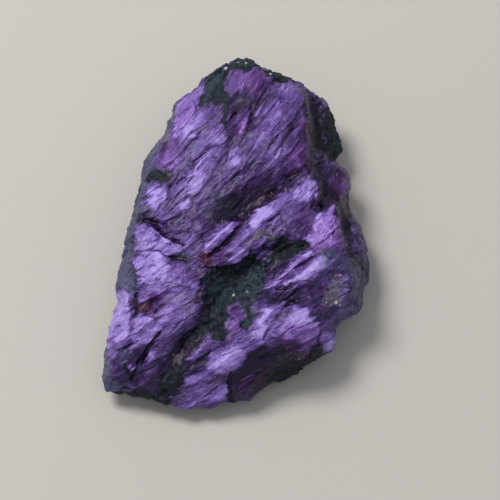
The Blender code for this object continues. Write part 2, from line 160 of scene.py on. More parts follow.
@dataclass(frozen=True)
class Grain:
    """The run of the fibres: from lower left to upper right, steeper towards the top."""

    view: PhotoView
    top_px: float = 90
    top_angle: float = math.radians(60)
    low_px: float = 290
    low_angle: float = math.radians(33)
    middle: Pixel = (237, 228)

    @property
    def turn(self) -> float:
        """How much the angle changes from one row of pixels to the next."""
        return (self.low_angle - self.top_angle) / (self.low_px - self.top_px)

    def angle(self, row: np.ndarray) -> np.ndarray:
        """The angle of the fibres from the rows of pixels, at a row."""
        return self.top_angle + self.turn * (np.clip(row, self.top_px, self.low_px) - self.top_px)

    def drift(self, row: np.ndarray) -> np.ndarray:
        """How far fibres have run by a row.

        Args:
            row: The rows of pixels.

        Returns:
            How far to the left, in pixels.
        """
        beyond = row - np.clip(row, self.top_px, self.low_px)
        angle = self.angle(row)
        return np.log(np.sin(angle)) / self.turn + beyond / np.tan(angle)

    def lengths(self, points: np.ndarray) -> np.ndarray:
        """Where points lie in the grain, in millimetres.

        Args:
            points: One row for each point, in metres.

        Returns:
            One row for each point: how far across the grain, along it, and up.
        """
        column, row = self.view.pixels_of(points).T
        steep = np.sin(self.angle(row))
        middle_column, middle_row = self.middle
        off_middle = column + self.drift(row) - middle_column - self.drift(np.array(middle_row))
        pixel_mm = self.view.pixel / MM
        return np.stack((off_middle * steep * pixel_mm, -row / steep * pixel_mm, points[:, 2] / MM), axis=1)


@dataclass(frozen=True)
class Ripple:
    """Smooth noise over places given in millimetres.

    Attributes:
        size: The size of a swell, in each direction.
        shift: Where in the noise it starts.
    """

    size: tuple[float, float, float]
    shift: float = 0.0

    def at(self, places: np.ndarray) -> np.ndarray:
        """The noise at each place, from about -1 to 1."""
        cells = (places / np.array(self.size) + self.shift).tolist()
        return np.fromiter((noise.noise(cell) for cell in cells), float, len(cells))


@dataclass(frozen=True)
class Splinters:
    """Flat slabs with sharp steps between them.

    Attributes:
        size: The size of a slab in each direction, in millimetres.
        step: How much slabs differ in height.
        tilt: How much each one tilts.
        shift: Where in the noise they start.
    """

    size: tuple[float, float, float]
    step: float = 0.5
    tilt: float = 0.6
    shift: float = 0.0

    def at(self, places: np.ndarray) -> np.ndarray:
        """The height of the slab at each place.

        Args:
            places: One row for each place, in millimetres.

        Returns:
            The heights, from about -1 to 1.
        """
        heights = np.empty(len(places))
        for index, cell in enumerate((places / np.array(self.size) + self.shift).tolist()):
            middle = noise.voronoi(cell)[1][0]
            tilt = 1 + noise.cell(middle + ELSEWHERE)
            heights[index] = self.step * noise.cell(middle) + self.tilt * tilt * (cell[0] - middle.x)
        return heights


class Tone(Enum):
    """What a place of the surface is, by the name of its field of shares."""

    # LIGHT and SHADE are painted light and painted shade, laid into the violet's colour
    LIGHT = "light"
    SHADE = "shade"
    PLUM = "plum"
    SLATE = "slate"
    OXIDE = "oxide"
    TEAL = "teal"
    DUST = "dust"
    WINE = "wine"


def from_line(places: np.ndarray, line: Sequence[Pixel]) -> tuple[np.ndarray, np.ndarray]:
    """How far places are from a drawn line.

    Args:
        places: One row of pixel coordinates for each place.
        line: The points of the line.

    Returns:
        The distance in pixels, and how far along the line the nearest point is, from 0 to 1.
    """
    nearest = np.full(len(places), np.inf)
    along = np.zeros(len(places))
    points = np.array(line, float)
    spans = np.linalg.norm(np.diff(points, axis=0), axis=1)
    reached = np.concatenate(((0,), np.cumsum(spans))) / spans.sum()
    for start, end, before, after in zip(points, points[1:], reached, reached[1:]):
        run = end - start
        share = np.clip((places - start) @ run / (run @ run), 0, 1)
        gap = np.linalg.norm(places - start - share[:, None] * run, axis=1)
        closer = gap < nearest
        nearest = np.where(closer, gap, nearest)
        along = np.where(closer, before + (after - before) * share, along)
    return nearest, along


def within(places: np.ndarray, outline: np.ndarray) -> np.ndarray:
    """Which places lie inside an outline.

    Args:
        places: One row of pixel coordinates for each place.
        outline: One row for each corner.

    Returns:
        Whether each place is inside.
    """
    inside = np.zeros(len(places), bool)
    for (x0, y0), (x1, y1) in zip(outline, np.roll(outline, -1, 0)):
        crosses = (y0 > places[:, 1]) != (y1 > places[:, 1])
        rise = y1 - y0 if y1 != y0 else 1
        inside ^= crosses & (places[:, 0] < x0 + (places[:, 1] - y0) * (x1 - x0) / rise)
    return inside


def nearby(places: np.ndarray, drawn: np.ndarray, margin: float) -> np.ndarray:
    """Which places lie in the box round a drawn shape, widened by a margin."""
    return ((places > drawn.min(0) - margin) & (places < drawn.max(0) + margin)).all(1)


@dataclass(frozen=True)
class Patch:
    """An area of one tone on the seen face, with a soft frayed edge.

    Attributes:
        strength: Its share in its middle.
        outline: Its corners, in pixels.
        fade: How many pixels its edge takes to fade.
        fray: How many pixels the grain pulls its edge about.
    """

    strength: float
    outline: tuple[Pixel, ...]
    fade: float = 5.0
    fray: float = 5.0

    def share(self, places: np.ndarray, pull: np.ndarray) -> np.ndarray:
        """The patch's share at each place.

        Args:
            places: One row of pixel coordinates for each place.
            pull: One row for each place: the way its edge is frayed there, up to 2 pixels long.

        Returns:
            One share for each place.
        """
        corners = np.array(self.outline, float)
        near = nearby(places, corners, self.fade + 2 * self.fray)
        result = np.zeros(len(places))
        moved = places[near] + self.fray * pull[near]
        gap, _ = from_line(moved, (*self.outline, self.outline[0]))
        depth = np.where(within(moved, corners), gap, -gap)
        result[near] = self.strength * ramp(depth, -self.fade / 2, self.fade / 2)
        return result


@dataclass(frozen=True)
class Streak:
    """A crack, groove, splinter edge or ledge along a drawn line, with its painted shade, painted highlight
    or rust.

    Attributes:
        strength: Its share in its middle.
        line: Its points, in pixels.
        width: Its half width in pixels, at its middle.
        height: How far it stands out, in millimetres. A crack goes in.
        thin_end: How wide its ends are, against its middle.
        edge: Where its edge starts and ends, against its half width.
        reach: How far its edge may be pulled, in half widths and in pixels more.
    """

    strength: float
    line: tuple[Pixel, ...]
    width: float = 1.6
    height: float = 0.0
    thin_end: float = 0.45
    edge: tuple[float, float] = (1.5, 0.3)
    reach: tuple[float, float] = (3, 2)

    def share(self, places: np.ndarray, pull: np.ndarray) -> np.ndarray:
        """How much of the streak is at each place, thinner at its ends.

        Args:
            places: One row of pixel coordinates for each place.
            pull: One row for each place: the way its edge is frayed there.

        Returns:
            One share for each place, up to 1.
        """
        near = nearby(places, np.array(self.line, float), self.reach[0] * self.width + self.reach[1])
        result = np.zeros(len(places))
        gap, along = from_line(places[near] + pull[near], self.line)
        bulge = np.sqrt(np.clip(4 * along * (1 - along), 0, 1))
        width = self.width * (self.thin_end + (1 - self.thin_end) * bulge)
        result[near] = ramp(gap / width, *self.edge)
        return result


# The areas of the seen face with a tone of their own, and those with painted light and painted shade, each
# clockwise from the top
# Painted light: places that the light catches, painted lighter as lit facets and highlights
LIT = {
    "corner": Patch(0.55, ((180, 92), (190, 84), (204, 84), (202, 92), (190, 97), (180, 98))),
    "top_left": Patch(0.65, (
        (178, 98), (195, 97), (197, 108), (189, 124), (196, 132), (184, 142), (175, 138), (171, 127),
        (173, 112))),
    "top_left_fold": Patch(0.45, (
        (191, 113), (202, 111), (207, 119), (200, 129), (190, 138), (182, 134), (185, 122)), 4, 3),
    "shoulder": Patch(0.4, (
        (196, 140), (206, 126), (216, 126), (224, 138), (222, 152), (210, 158), (198, 176), (188, 178),
        (184, 160), (190, 148))),
    "middle_facet": Patch(0.55, ((229, 153), (238, 149), (241, 162), (236, 169), (229, 165)), 4, 3),
    "middle_step": Patch(0.4, ((196, 176), (203, 160), (212, 156), (214, 168), (204, 180))),
    "bright_chip": Patch(0.7, (
        (188, 184), (192, 172), (202, 170), (204, 180), (199, 191), (192, 194)), 4, 4),
    "left_slope": Patch(0.35, ((170, 205), (176, 184), (184, 172), (190, 176), (186, 192), (178, 208))),
    "left_corner": Patch(0.7, (
        (147, 206), (150, 188), (166, 187), (168, 196), (160, 206), (152, 211)), 4, 3),
    "left_corner_glow": Patch(0.3, (
        (143, 200), (144, 184), (162, 180), (170, 188), (160, 216), (148, 214))),
    "left_brow": Patch(0.3, ((160, 168), (164, 144), (178, 142), (184, 156), (176, 172), (164, 176))),
    "left_chip": Patch(0.6, ((178, 212), (182, 202), (190, 199), (190, 205), (182, 212)), 3, 3),
    "wall_foot": Patch(0.25, ((119, 272), (126, 271), (131, 288), (122, 288)), 4, 2),
    "upper_step": Patch(0.75, (
        (134, 232), (138, 228), (147, 226), (157, 231), (165, 238), (172, 243), (182, 247), (180, 254),
        (168, 252), (150, 250), (138, 252))),
    "lower_step": Patch(0.95, (
        (138, 256), (150, 252), (163, 253), (171, 260), (172, 272), (164, 280), (148, 282), (140, 276),
        (136, 266))),
    "under_step": Patch(0.4, (
        (140, 280), (172, 272), (184, 266), (192, 272), (180, 290), (164, 290), (150, 300), (141, 300))),
    "inner_step": Patch(0.4, ((183, 250), (184, 236), (192, 231), (198, 240), (196, 252), (188, 254))),
    "step_end": Patch(0.6, ((191, 290), (192, 281), (199, 280), (201, 288), (196, 293)), 3, 3),
    "bright_facet": Patch(0.95, (
        (116, 291), (124, 289), (131, 292), (132, 318), (131, 334), (124, 341), (110, 338),
        (104, 330), (108, 305)), 3, 1.5),
    "under_pit": Patch(0.7, (
        (138, 318), (146, 313), (160, 318), (170, 316), (166, 328), (156, 338), (146, 342), (138, 344),
        (135, 330))),
    "lower_face": Patch(0.35, (
        (166, 300), (176, 284), (190, 290), (196, 304), (186, 322), (170, 330), (162, 318))),
    "lower_corner": Patch(0.35, ((108, 362), (109, 342), (114, 340), (120, 350), (117, 364)), 4, 2),
    "shelf_left": Patch(0.75, ((130, 368), (132, 361), (139, 359), (141, 364), (135, 369)), 3, 2),
    "shelf_right": Patch(0.7, ((147, 358), (152, 349), (158, 349), (158, 356), (150, 360)), 3, 2),
    "lip": Patch(0.5, ((122, 384), (130, 379), (140, 382), (150, 374), (150, 381), (134, 388)), 3, 3),
    "gully_bank": Patch(0.5, ((190, 356), (198, 346), (204, 346), (202, 353), (194, 358)), 3, 3),
    "belt_peak": Patch(0.85, (
        (250, 338), (251, 326), (258, 316), (263, 306), (270, 302), (270, 314), (264, 328), (258, 342))),
    "belt_peak_glow": Patch(0.35, (
        (258, 318), (266, 300), (280, 302), (282, 312), (276, 330), (268, 342), (258, 342))),
    "belt_upper": Patch(0.45, ((218, 350), (228, 338), (250, 330), (250, 344), (242, 350), (226, 356))),
    "belt_middle": Patch(0.8, (
        (208, 362), (212, 352), (226, 350), (234, 343), (245, 347), (245, 358), (238, 367), (222, 372),
        (210, 370))),
    "belt_left": Patch(0.6, ((184, 376), (196, 372), (208, 368), (208, 376), (198, 382), (188, 384))),
    "belt_lower": Patch(0.6, (
        (184, 398), (196, 386), (208, 378), (222, 380), (230, 388), (226, 398), (206, 398), (192, 403))),
    "lower_edge": Patch(0.4, ((234, 398), (236, 388), (250, 386), (256, 392), (246, 398)), 4, 3),
    "plate": Patch(0.7, (
        (277, 336), (279, 325), (285, 315), (292, 306), (302, 309), (312, 316), (321, 324),
        (320, 332), (306, 338), (288, 338)), 4, 3),
    "plate_upper": Patch(0.4, (
        (290, 318), (292, 307), (302, 309), (308, 316), (302, 324), (292, 322)), 3, 3),
    "plate_left": Patch(0.35, ((280, 338), (283, 330), (290, 326), (292, 334), (286, 340)), 3, 3),
    "knob": Patch(0.6, ((318, 336), (322, 328), (329, 330), (336, 340), (331, 349), (322, 350)), 3, 2),
    "knob_foot": Patch(0.45, ((324, 350), (328, 338), (335, 338), (334, 346), (328, 351)), 3, 2),
    "lobe": Patch(0.35, ((336, 312), (340, 302), (350, 302), (350, 312), (342, 320)), 4, 3),
    "ridge": Patch(0.95, (
        (298, 279), (306, 268), (314, 259), (322, 256), (330, 262), (324, 272), (312, 276),
        (302, 282)), 4, 4),
    "ridge_run": Patch(0.4, (
        (262, 290), (276, 278), (290, 264), (302, 254), (314, 248), (314, 258), (300, 270), (284, 284),
        (268, 292))),
    "spur": Patch(0.75, (
        (333, 207), (337, 216), (338, 232), (332, 239), (320, 246), (306, 246), (307, 236),
        (313, 226), (314, 218), (324, 212)), 3, 3),
    "spur_foot": Patch(0.3, ((318, 250), (330, 240), (342, 240), (346, 254), (330, 256))),
    "block": Patch(0.45, ((340, 192), (343, 178), (351, 176), (352, 186), (345, 196)), 4, 3),
    "block_inner": Patch(0.25, ((328, 190), (332, 175), (338, 176), (337, 188)), 4, 3),
    "crest": Patch(0.3, ((316, 94), (322, 90), (332, 94), (330, 102), (324, 100)), 4, 3),
    "right_face": Patch(0.5, (
        (262, 120), (264, 110), (270, 103), (280, 102), (284, 110), (278, 118), (270, 123))),
    "right_top": Patch(0.4, ((276, 92), (282, 82), (292, 80), (298, 88), (292, 94))),
    "right_middle": Patch(0.3, ((262, 146), (264, 132), (276, 130), (282, 138), (272, 150))),
    "right_low": Patch(0.5, ((283, 164), (290, 156), (300, 157), (303, 165), (296, 171), (286, 172)), 4, 3),
    "right_foot": Patch(0.35, ((272, 178), (276, 166), (284, 164), (286, 176), (280, 184), (272, 186))),
    "band_peak": Patch(0.9, (
        (250, 223), (252, 216), (260, 207), (268, 205), (272, 212), (264, 220), (256, 227)), 4, 3),
    "band": Patch(0.45, (
        (226, 256), (232, 244), (246, 230), (254, 214), (266, 204), (284, 196), (292, 186), (300, 190),
        (290, 206), (276, 214), (264, 228), (250, 238), (238, 252))),
    "band_right": Patch(0.75, (
        (294, 198), (298, 187), (306, 181), (315, 180), (317, 188), (313, 198), (306, 203),
        (296, 204)), 3, 3),
    "band_left": Patch(0.5, (
        (204, 252), (210, 238), (222, 226), (234, 219), (240, 224), (228, 238), (214, 248))),
    "band_lip": Patch(0.6, ((226, 264), (230, 257), (242, 249), (252, 246), (250, 254), (240, 262)), 3, 3),
    "band_foot": Patch(0.3, ((256, 260), (262, 250), (274, 240), (280, 240), (270, 252), (262, 262)), 3, 3),
    "tongue": Patch(0.2, ((229, 322), (230, 310), (240, 305), (246, 306), (243, 322), (234, 330))),
}
# Painted shade: hollows and shadowed flanks, painted darker
SHADED = {
    "notch": Patch(0.5, ((143, 180), (148, 168), (164, 166), (172, 174), (168, 184), (150, 182))),
    "notch_edge": Patch(0.6, ((159, 162), (161, 142), (166, 138), (166, 150), (162, 162)), 3, 3),
    "wall": Patch(0.28, (
        (174, 96), (176, 103), (170, 122), (156, 142), (147, 164), (142, 190), (139, 208), (134, 216),
        (132, 262), (110, 262), (130, 140), (160, 90))),
    "wall_ledge": Patch(0.55, (
        (132, 224), (134, 214), (150, 214), (158, 221), (162, 231), (152, 228), (142, 225)), 4, 3),
    "wall_foot": Patch(0.4, ((131, 260), (136, 264), (141, 288), (134, 291), (129, 276)), 4, 3),
    "step_gap": Patch(0.7, ((168, 256), (180, 254), (192, 259), (196, 264), (182, 262), (172, 260)), 4, 3),
    "bright_facet": Patch(0.45, ((132, 296), (136, 296), (140, 308), (138, 318), (133, 316)), 3, 2),
    "pit": Patch(0.9, ((137, 307), (140, 302), (152, 300), (154, 306), (150, 311), (142, 310)), 3, 2),
    "pit_rim": Patch(0.3, ((148, 298), (152, 289), (161, 290), (160, 302), (152, 306))),
    "shelf": Patch(0.45, (
        (117, 352), (126, 346), (140, 344), (152, 350), (166, 350), (168, 368), (158, 384), (140, 388),
        (116, 384), (118, 366))),
    "gully": Patch(0.8, (
        (212, 298), (216, 312), (212, 330), (206, 338), (198, 346), (190, 358), (186, 370), (184, 384),
        (170, 398), (158, 396), (162, 380), (168, 366), (172, 352), (180, 340), (188, 330), (198, 318),
        (204, 302))),
    "belt": Patch(0.5, ((188, 374), (190, 364), (204, 358), (212, 350), (212, 360), (200, 370)), 4, 3),
    "lower_edge": Patch(0.85, (
        (228, 402), (228, 372), (240, 368), (246, 352), (262, 343), (290, 347), (302, 352), (300, 360),
        (276, 366), (270, 384), (252, 396))),
    "corner": Patch(0.7, (
        (266, 384), (272, 366), (300, 360), (312, 344), (320, 348), (324, 358), (300, 380), (270, 390))),
    "plate_foot": Patch(0.35, ((276, 342), (290, 340), (302, 344), (296, 350), (278, 350))),
    "lobe": Patch(0.35, (
        (336, 262), (350, 252), (366, 254), (378, 262), (376, 300), (360, 318), (346, 300), (342, 280))),
    "lobe_edge": Patch(0.45, ((362, 262), (378, 262), (376, 300), (356, 322), (358, 304), (364, 284))),
    "tan": Patch(0.3, ((294, 302), (302, 288), (322, 284), (336, 278), (336, 316), (322, 322), (300, 306))),
    "ridge_left": Patch(0.6, (
        (262, 282), (262, 262), (272, 254), (286, 256), (294, 258), (286, 268), (274, 278))),
    "ridge_foot": Patch(0.5, (
        (252, 302), (258, 290), (276, 292), (292, 286), (300, 288), (298, 302), (280, 304), (262, 300))),
    "ground": Patch(0.75, (
        (264, 240), (280, 236), (306, 240), (312, 246), (296, 256), (276, 258), (262, 250))),
    "spur_flank": Patch(0.95, (
        (337, 204), (349, 205), (352, 220), (350, 232), (352, 248), (346, 254), (343, 240),
        (339, 226)), 4, 3),
    "spur_outer": Patch(0.25, ((350, 226), (362, 222), (372, 250), (366, 264), (352, 256))),
    "block": Patch(0.8, (
        (301, 168), (312, 158), (324, 160), (322, 176), (332, 192), (346, 200), (350, 214), (336, 212),
        (332, 204), (320, 212), (311, 209), (318, 196), (318, 184), (312, 174))),
    "block_outer": Patch(0.45, ((318, 160), (336, 164), (352, 172), (352, 200), (330, 206), (318, 190))),
    "hollow": Patch(0.95, (
        (303, 90), (314, 92), (324, 98), (327, 112), (325, 134), (329, 150), (334, 158), (322, 158),
        (311, 150), (308, 132), (307, 112))),
    "cleft": Patch(0.35, (
        (246, 136), (250, 112), (258, 92), (264, 78), (272, 78), (266, 94), (258, 114), (252, 134))),
    "brow": Patch(0.4, ((226, 102), (232, 90), (246, 90), (250, 102), (240, 112), (230, 114))),
    "brow_foot": Patch(0.4, ((222, 132), (222, 116), (230, 114), (240, 122), (234, 138), (226, 140))),
    "right_edge": Patch(0.35, ((299, 148), (300, 122), (310, 118), (309, 148), (304, 164))),
    "trough": Patch(0.5, (
        (204, 232), (206, 214), (216, 198), (232, 188), (250, 182), (270, 176), (288, 168), (304, 168),
        (296, 178), (286, 188), (276, 200), (262, 205), (246, 218), (236, 228), (220, 222), (214, 232))),
    "trough_depth": Patch(0.65, (
        (216, 220), (218, 202), (230, 196), (244, 196), (258, 190), (274, 184), (282, 188), (270, 202),
        (258, 204), (248, 212), (240, 222), (228, 222))),
    "band_right": Patch(0.3, ((294, 242), (298, 222), (308, 214), (314, 224), (306, 244))),
    "band_left": Patch(0.3, ((208, 262), (214, 252), (228, 250), (230, 262), (216, 266))),
    "pocket": Patch(0.3, ((226, 284), (228, 266), (246, 264), (248, 274), (242, 286), (234, 290))),
    "pocket_left": Patch(0.4, ((200, 306), (198, 284), (206, 272), (210, 280), (206, 300))),
}
# Redder violet
PLUM = {
    "top_left": Patch(0.6, ((176, 100), (194, 98), (190, 118), (178, 140), (170, 130))),
    "left_brow": Patch(0.6, ((158, 178), (160, 146), (176, 142), (182, 166), (172, 182))),
    "wall": Patch(0.5, ((124, 252), (127, 236), (132, 232), (132, 250), (130, 258))),
    "pit_rim": Patch(0.9, ((150, 296), (156, 288), (166, 290), (166, 304), (154, 310))),
    "lower_edge": Patch(0.6, ((236, 400), (238, 372), (262, 366), (268, 380), (252, 398))),
    "plate": Patch(0.8, (
        (278, 338), (282, 322), (300, 318), (320, 326), (318, 344), (300, 350), (282, 346))),
    "ridge": Patch(0.6, ((264, 290), (284, 268), (306, 254), (316, 258), (296, 276), (276, 290))),
    "spur": Patch(0.9, ((333, 207), (338, 218), (344, 250), (320, 250), (304, 246), (313, 222))),
    "block": Patch(0.7, ((326, 196), (330, 172), (352, 174), (352, 196), (340, 202))),
    "top": Patch(0.7, ((232, 90), (236, 70), (262, 68), (270, 78), (262, 92), (244, 96))),
    "cleft": Patch(0.7, ((236, 130), (244, 104), (252, 104), (250, 130), (240, 140))),
    "right_edge": Patch(0.9, (
        (282, 172), (288, 156), (300, 140), (300, 118), (311, 118), (310, 150), (314, 166), (296, 172))),
    "trough": Patch(0.6, ((246, 196), (250, 180), (272, 174), (280, 184), (262, 196))),
    "band_right": Patch(0.6, ((294, 240), (294, 210), (300, 196), (308, 204), (306, 226), (302, 242))),
    "band_left": Patch(0.7, ((202, 262), (206, 246), (228, 224), (240, 222), (230, 244), (222, 262))),
    "tongue": Patch(0.8, ((228, 338), (228, 308), (244, 303), (247, 310), (240, 330))),
}
# The blue-grey wall and other dull blue places
SLATE = {
    "shoulder": Patch(0.45, ((186, 142), (200, 138), (212, 140), (212, 150), (198, 156), (188, 152))),
    "wall": Patch(0.9, (
        (176, 96), (178, 103), (174, 116), (170, 130), (158, 140), (157, 152), (149, 168), (149, 180),
        (143, 190), (142, 204), (146, 212), (136, 218), (134, 232), (133, 248), (134, 260), (138, 274),
        (142, 288), (134, 296), (130, 288), (110, 290), (90, 260), (110, 200), (130, 140), (160, 90))),
    "step_gap": Patch(0.6, ((168, 254), (182, 252), (194, 258), (190, 264), (174, 262))),
    "lower_corner": Patch(0.85, (
        (100, 345), (108, 345), (112, 362), (115, 376), (124, 386), (118, 396), (96, 390))),
    "shelf": Patch(0.5, ((116, 342), (128, 342), (140, 350), (142, 358), (128, 358), (120, 352))),
    "lobe": Patch(0.6, (
        (338, 262), (350, 256), (362, 256), (376, 262), (376, 300), (356, 326), (336, 330), (332, 316),
        (344, 300), (346, 280))),
    "ridge": Patch(0.55, ((314, 258), (318, 248), (334, 250), (342, 262), (334, 272), (326, 264))),
    "spur": Patch(0.4, ((350, 230), (362, 224), (370, 250), (364, 262), (354, 256))),
    "crest": Patch(0.5, ((296, 82), (312, 86), (322, 92), (316, 96), (304, 90))),
    "trough": Patch(0.5, ((204, 214), (208, 196), (222, 190), (224, 204), (214, 216))),
}
# The green-black pocket and the crusts of the rims
CRUSTED = {
    "nub": Patch(0.9, ((228, 64), (236, 52), (243, 48), (254, 51), (256, 61), (246, 62), (236, 62))),
    "left_rim": Patch(0.75, (
        (204, 76), (203, 64), (216, 60), (232, 56), (256, 60), (266, 66), (246, 67), (228, 68),
        (226, 78), (224, 88), (228, 96), (230, 108), (228, 122), (223, 134), (221, 122), (219, 104),
        (206, 100), (196, 110), (198, 98), (204, 90))),
    "right_rim": Patch(0.95, ((262, 66), (272, 64), (284, 67), (298, 76), (290, 80), (276, 80), (268, 74))),
    "brow": Patch(0.45, ((230, 98), (246, 94), (262, 94), (286, 92), (288, 100), (268, 102), (246, 103))),
    "shoulder": Patch(0.5, ((182, 168), (188, 160), (198, 156), (196, 164), (188, 170)), 4, 4),
    "notch": Patch(0.7, ((145, 178), (150, 171), (160, 169), (169, 174), (168, 182), (156, 182)), 5, 4),
    "lip": Patch(0.8, (
        (120, 387), (130, 384), (146, 386), (160, 390), (172, 396), (170, 410), (140, 402), (118, 394))),
    "gully_head": Patch(0.75, (
        (206, 312), (214, 316), (212, 330), (200, 336), (194, 348), (186, 344), (190, 330), (200, 320))),
    "gully_foot": Patch(0.8, (
        (176, 362), (188, 360), (188, 376), (176, 382), (172, 392), (162, 394), (162, 380), (168, 368))),
    "corner": Patch(1.0, (
        (268, 384), (272, 370), (282, 361), (296, 361), (306, 354), (312, 345), (319, 348), (324, 356),
        (312, 372), (284, 388))),
    "tan": Patch(0.35, (
        (300, 300), (306, 286), (322, 282), (338, 276), (338, 300), (328, 322), (316, 314))),
    "ridge_foot": Patch(0.45, ((262, 296), (270, 290), (282, 294), (276, 302), (264, 302))),
    "ground": Patch(0.9, (
        (270, 256), (268, 246), (280, 237), (292, 240), (306, 240), (312, 247), (302, 251), (292, 258),
        (280, 260))),
    "hollow": Patch(0.6, ((309, 122), (320, 122), (324, 138), (322, 150), (312, 146))),
    "flank": Patch(0.95, (
        (325, 108), (332, 102), (342, 108), (348, 140), (342, 162), (330, 160), (326, 150), (328, 136),
        (324, 120))),
    "trough": Patch(0.5, ((222, 218), (222, 204), (234, 200), (240, 210), (232, 220))),
    "pocket": Patch(1.0, (
        (206, 274), (213, 266), (226, 267), (236, 265), (246, 261), (252, 254), (260, 258),
        (267, 260), (264, 270), (263, 284), (259, 294), (253, 301), (252, 322), (247, 329),
        (240, 326), (245, 318), (246, 305), (240, 301), (230, 303), (227, 312), (226, 325),
        (228, 334), (222, 341), (215, 337), (210, 324), (206, 305), (205, 288)), 4, 3),
}
# Green lights in the crusts
GREEN = {
    "nub": Patch(0.8, ((232, 60), (238, 53), (246, 50), (252, 54), (250, 60), (240, 61))),
    "left_rim": Patch(0.75, ((204, 78), (206, 66), (222, 62), (224, 80), (214, 94), (202, 104), (203, 90))),
    "right_rim": Patch(0.5, ((268, 69), (274, 67), (284, 71), (290, 77), (276, 77)), 4),
    "gully": Patch(0.7, ((166, 376), (172, 370), (178, 374), (172, 380)), 3, 3),
    "flank": Patch(0.55, ((333, 136), (342, 132), (346, 146), (338, 152)), 5, 3),
    "pocket_right": Patch(0.75, (
        (243, 288), (245, 272), (250, 266), (262, 266), (263, 282), (258, 294), (254, 300), (252, 322),
        (247, 326), (248, 300))),
    "pocket_left": Patch(0.6, ((212, 294), (214, 282), (224, 278), (232, 284), (228, 292), (218, 298))),
    "pocket_middle": Patch(0.55, ((228, 302), (230, 292), (242, 288), (246, 296), (240, 302))),
    "pocket_foot": Patch(0.4, ((210, 318), (210, 304), (220, 304), (222, 314), (216, 320))),
}
# Tan and grey dust and weathering
DUSTY = {
    "nub": Patch(0.5, ((238, 58), (246, 55), (251, 60), (242, 63)), 4, 3),
    "left_rim": Patch(0.45, ((220, 66), (224, 61), (232, 62), (230, 69), (222, 70)), 3, 2),
    "brow": Patch(0.35, ((272, 94), (284, 91), (294, 98), (286, 104), (274, 101))),
    "shoulder": Patch(0.5, ((205, 120), (214, 108), (222, 110), (220, 122), (210, 130))),
    "shoulder_low": Patch(0.55, ((186, 145), (194, 143), (200, 149), (194, 153), (187, 150)), 4, 4),
    "notch": Patch(0.7, ((158, 140), (160, 132), (170, 130), (174, 138), (166, 142)), 4, 3),
    "bright_facet": Patch(0.45, ((131, 286), (136, 286), (138, 300), (136, 312), (131, 308)), 3, 2),
    "lower_face": Patch(0.6, (
        (174, 300), (180, 288), (190, 292), (184, 300), (196, 290), (203, 284), (202, 298), (194, 308),
        (192, 318), (186, 318), (186, 306))),
    "gully_side": Patch(0.5, (
        (164, 350), (170, 336), (180, 326), (186, 318), (188, 326), (178, 338), (172, 352))),
    "gully": Patch(0.6, ((172, 360), (176, 350), (188, 348), (186, 358), (178, 364))),
    "belt": Patch(0.4, ((230, 342), (236, 330), (250, 328), (252, 340), (240, 346), (230, 346))),
    "belt_left": Patch(0.5, ((176, 404), (178, 388), (188, 384), (192, 392), (186, 404))),
    "belt_middle": Patch(0.5, ((208, 380), (212, 370), (222, 370), (224, 378), (216, 382))),
    "lower_edge": Patch(0.45, ((270, 360), (276, 350), (290, 348), (302, 350), (300, 358), (286, 360))),
    "tan": Patch(0.75, (
        (316, 306), (324, 292), (328, 276), (336, 270), (340, 276), (338, 292), (340, 304), (330, 308))),
    "right_face": Patch(0.3, ((276, 122), (282, 104), (294, 104), (298, 116), (290, 128))),
    "trough_left": Patch(0.5, ((196, 222), (198, 200), (206, 188), (216, 188), (212, 204), (206, 222))),
    "trough_right": Patch(0.35, ((268, 200), (272, 190), (284, 186), (284, 194), (276, 202)), 4, 3),
    "band_right": Patch(0.45, ((274, 236), (278, 218), (288, 206), (296, 210), (294, 228), (286, 240))),
    "pale_spot": Patch(0.95, ((252, 240), (253, 232), (258, 228), (263, 232), (259, 240)), 3, 2),
    "pale_spot_halo": Patch(0.6, ((262, 240), (262, 230), (272, 232), (280, 238), (270, 244)), 4, 4),
    "pocket_middle": Patch(0.5, ((228, 301), (231, 291), (240, 289), (240, 298), (234, 303)), 3, 3),
    "pocket_left": Patch(0.4, ((216, 290), (220, 283), (228, 284), (226, 290)), 3, 3),
}
# Wine-red places
WINE = {
    "pit": Patch(0.95, ((139, 308), (141, 302), (150, 299), (154, 304), (152, 310), (145, 312)), 3, 2),
    "gully": Patch(0.4, ((180, 344), (190, 334), (208, 330), (206, 344), (190, 356), (180, 354))),
    "block_upper": Patch(0.5, ((302, 170), (314, 164), (320, 172), (312, 178)), 4, 3),
    "block_lower": Patch(0.5, ((310, 208), (314, 192), (322, 190), (322, 206)), 4, 3),
    "trough_middle": Patch(0.55, ((250, 206), (256, 194), (266, 192), (270, 200), (262, 206)), 4, 4),
    "trough_upper": Patch(0.5, ((284, 174), (288, 168), (298, 168), (298, 174), (290, 178)), 3, 3),
    "band": Patch(0.8, ((199, 262), (202, 253), (210, 252), (214, 260), (206, 267)), 4, 3),
}
PATCHES = {
    Tone.LIGHT: LIT, Tone.SHADE: SHADED, Tone.PLUM: PLUM, Tone.SLATE: SLATE, Tone.OXIDE: CRUSTED,
    Tone.TEAL: GREEN, Tone.DUST: DUSTY, Tone.WINE: WINE,
}
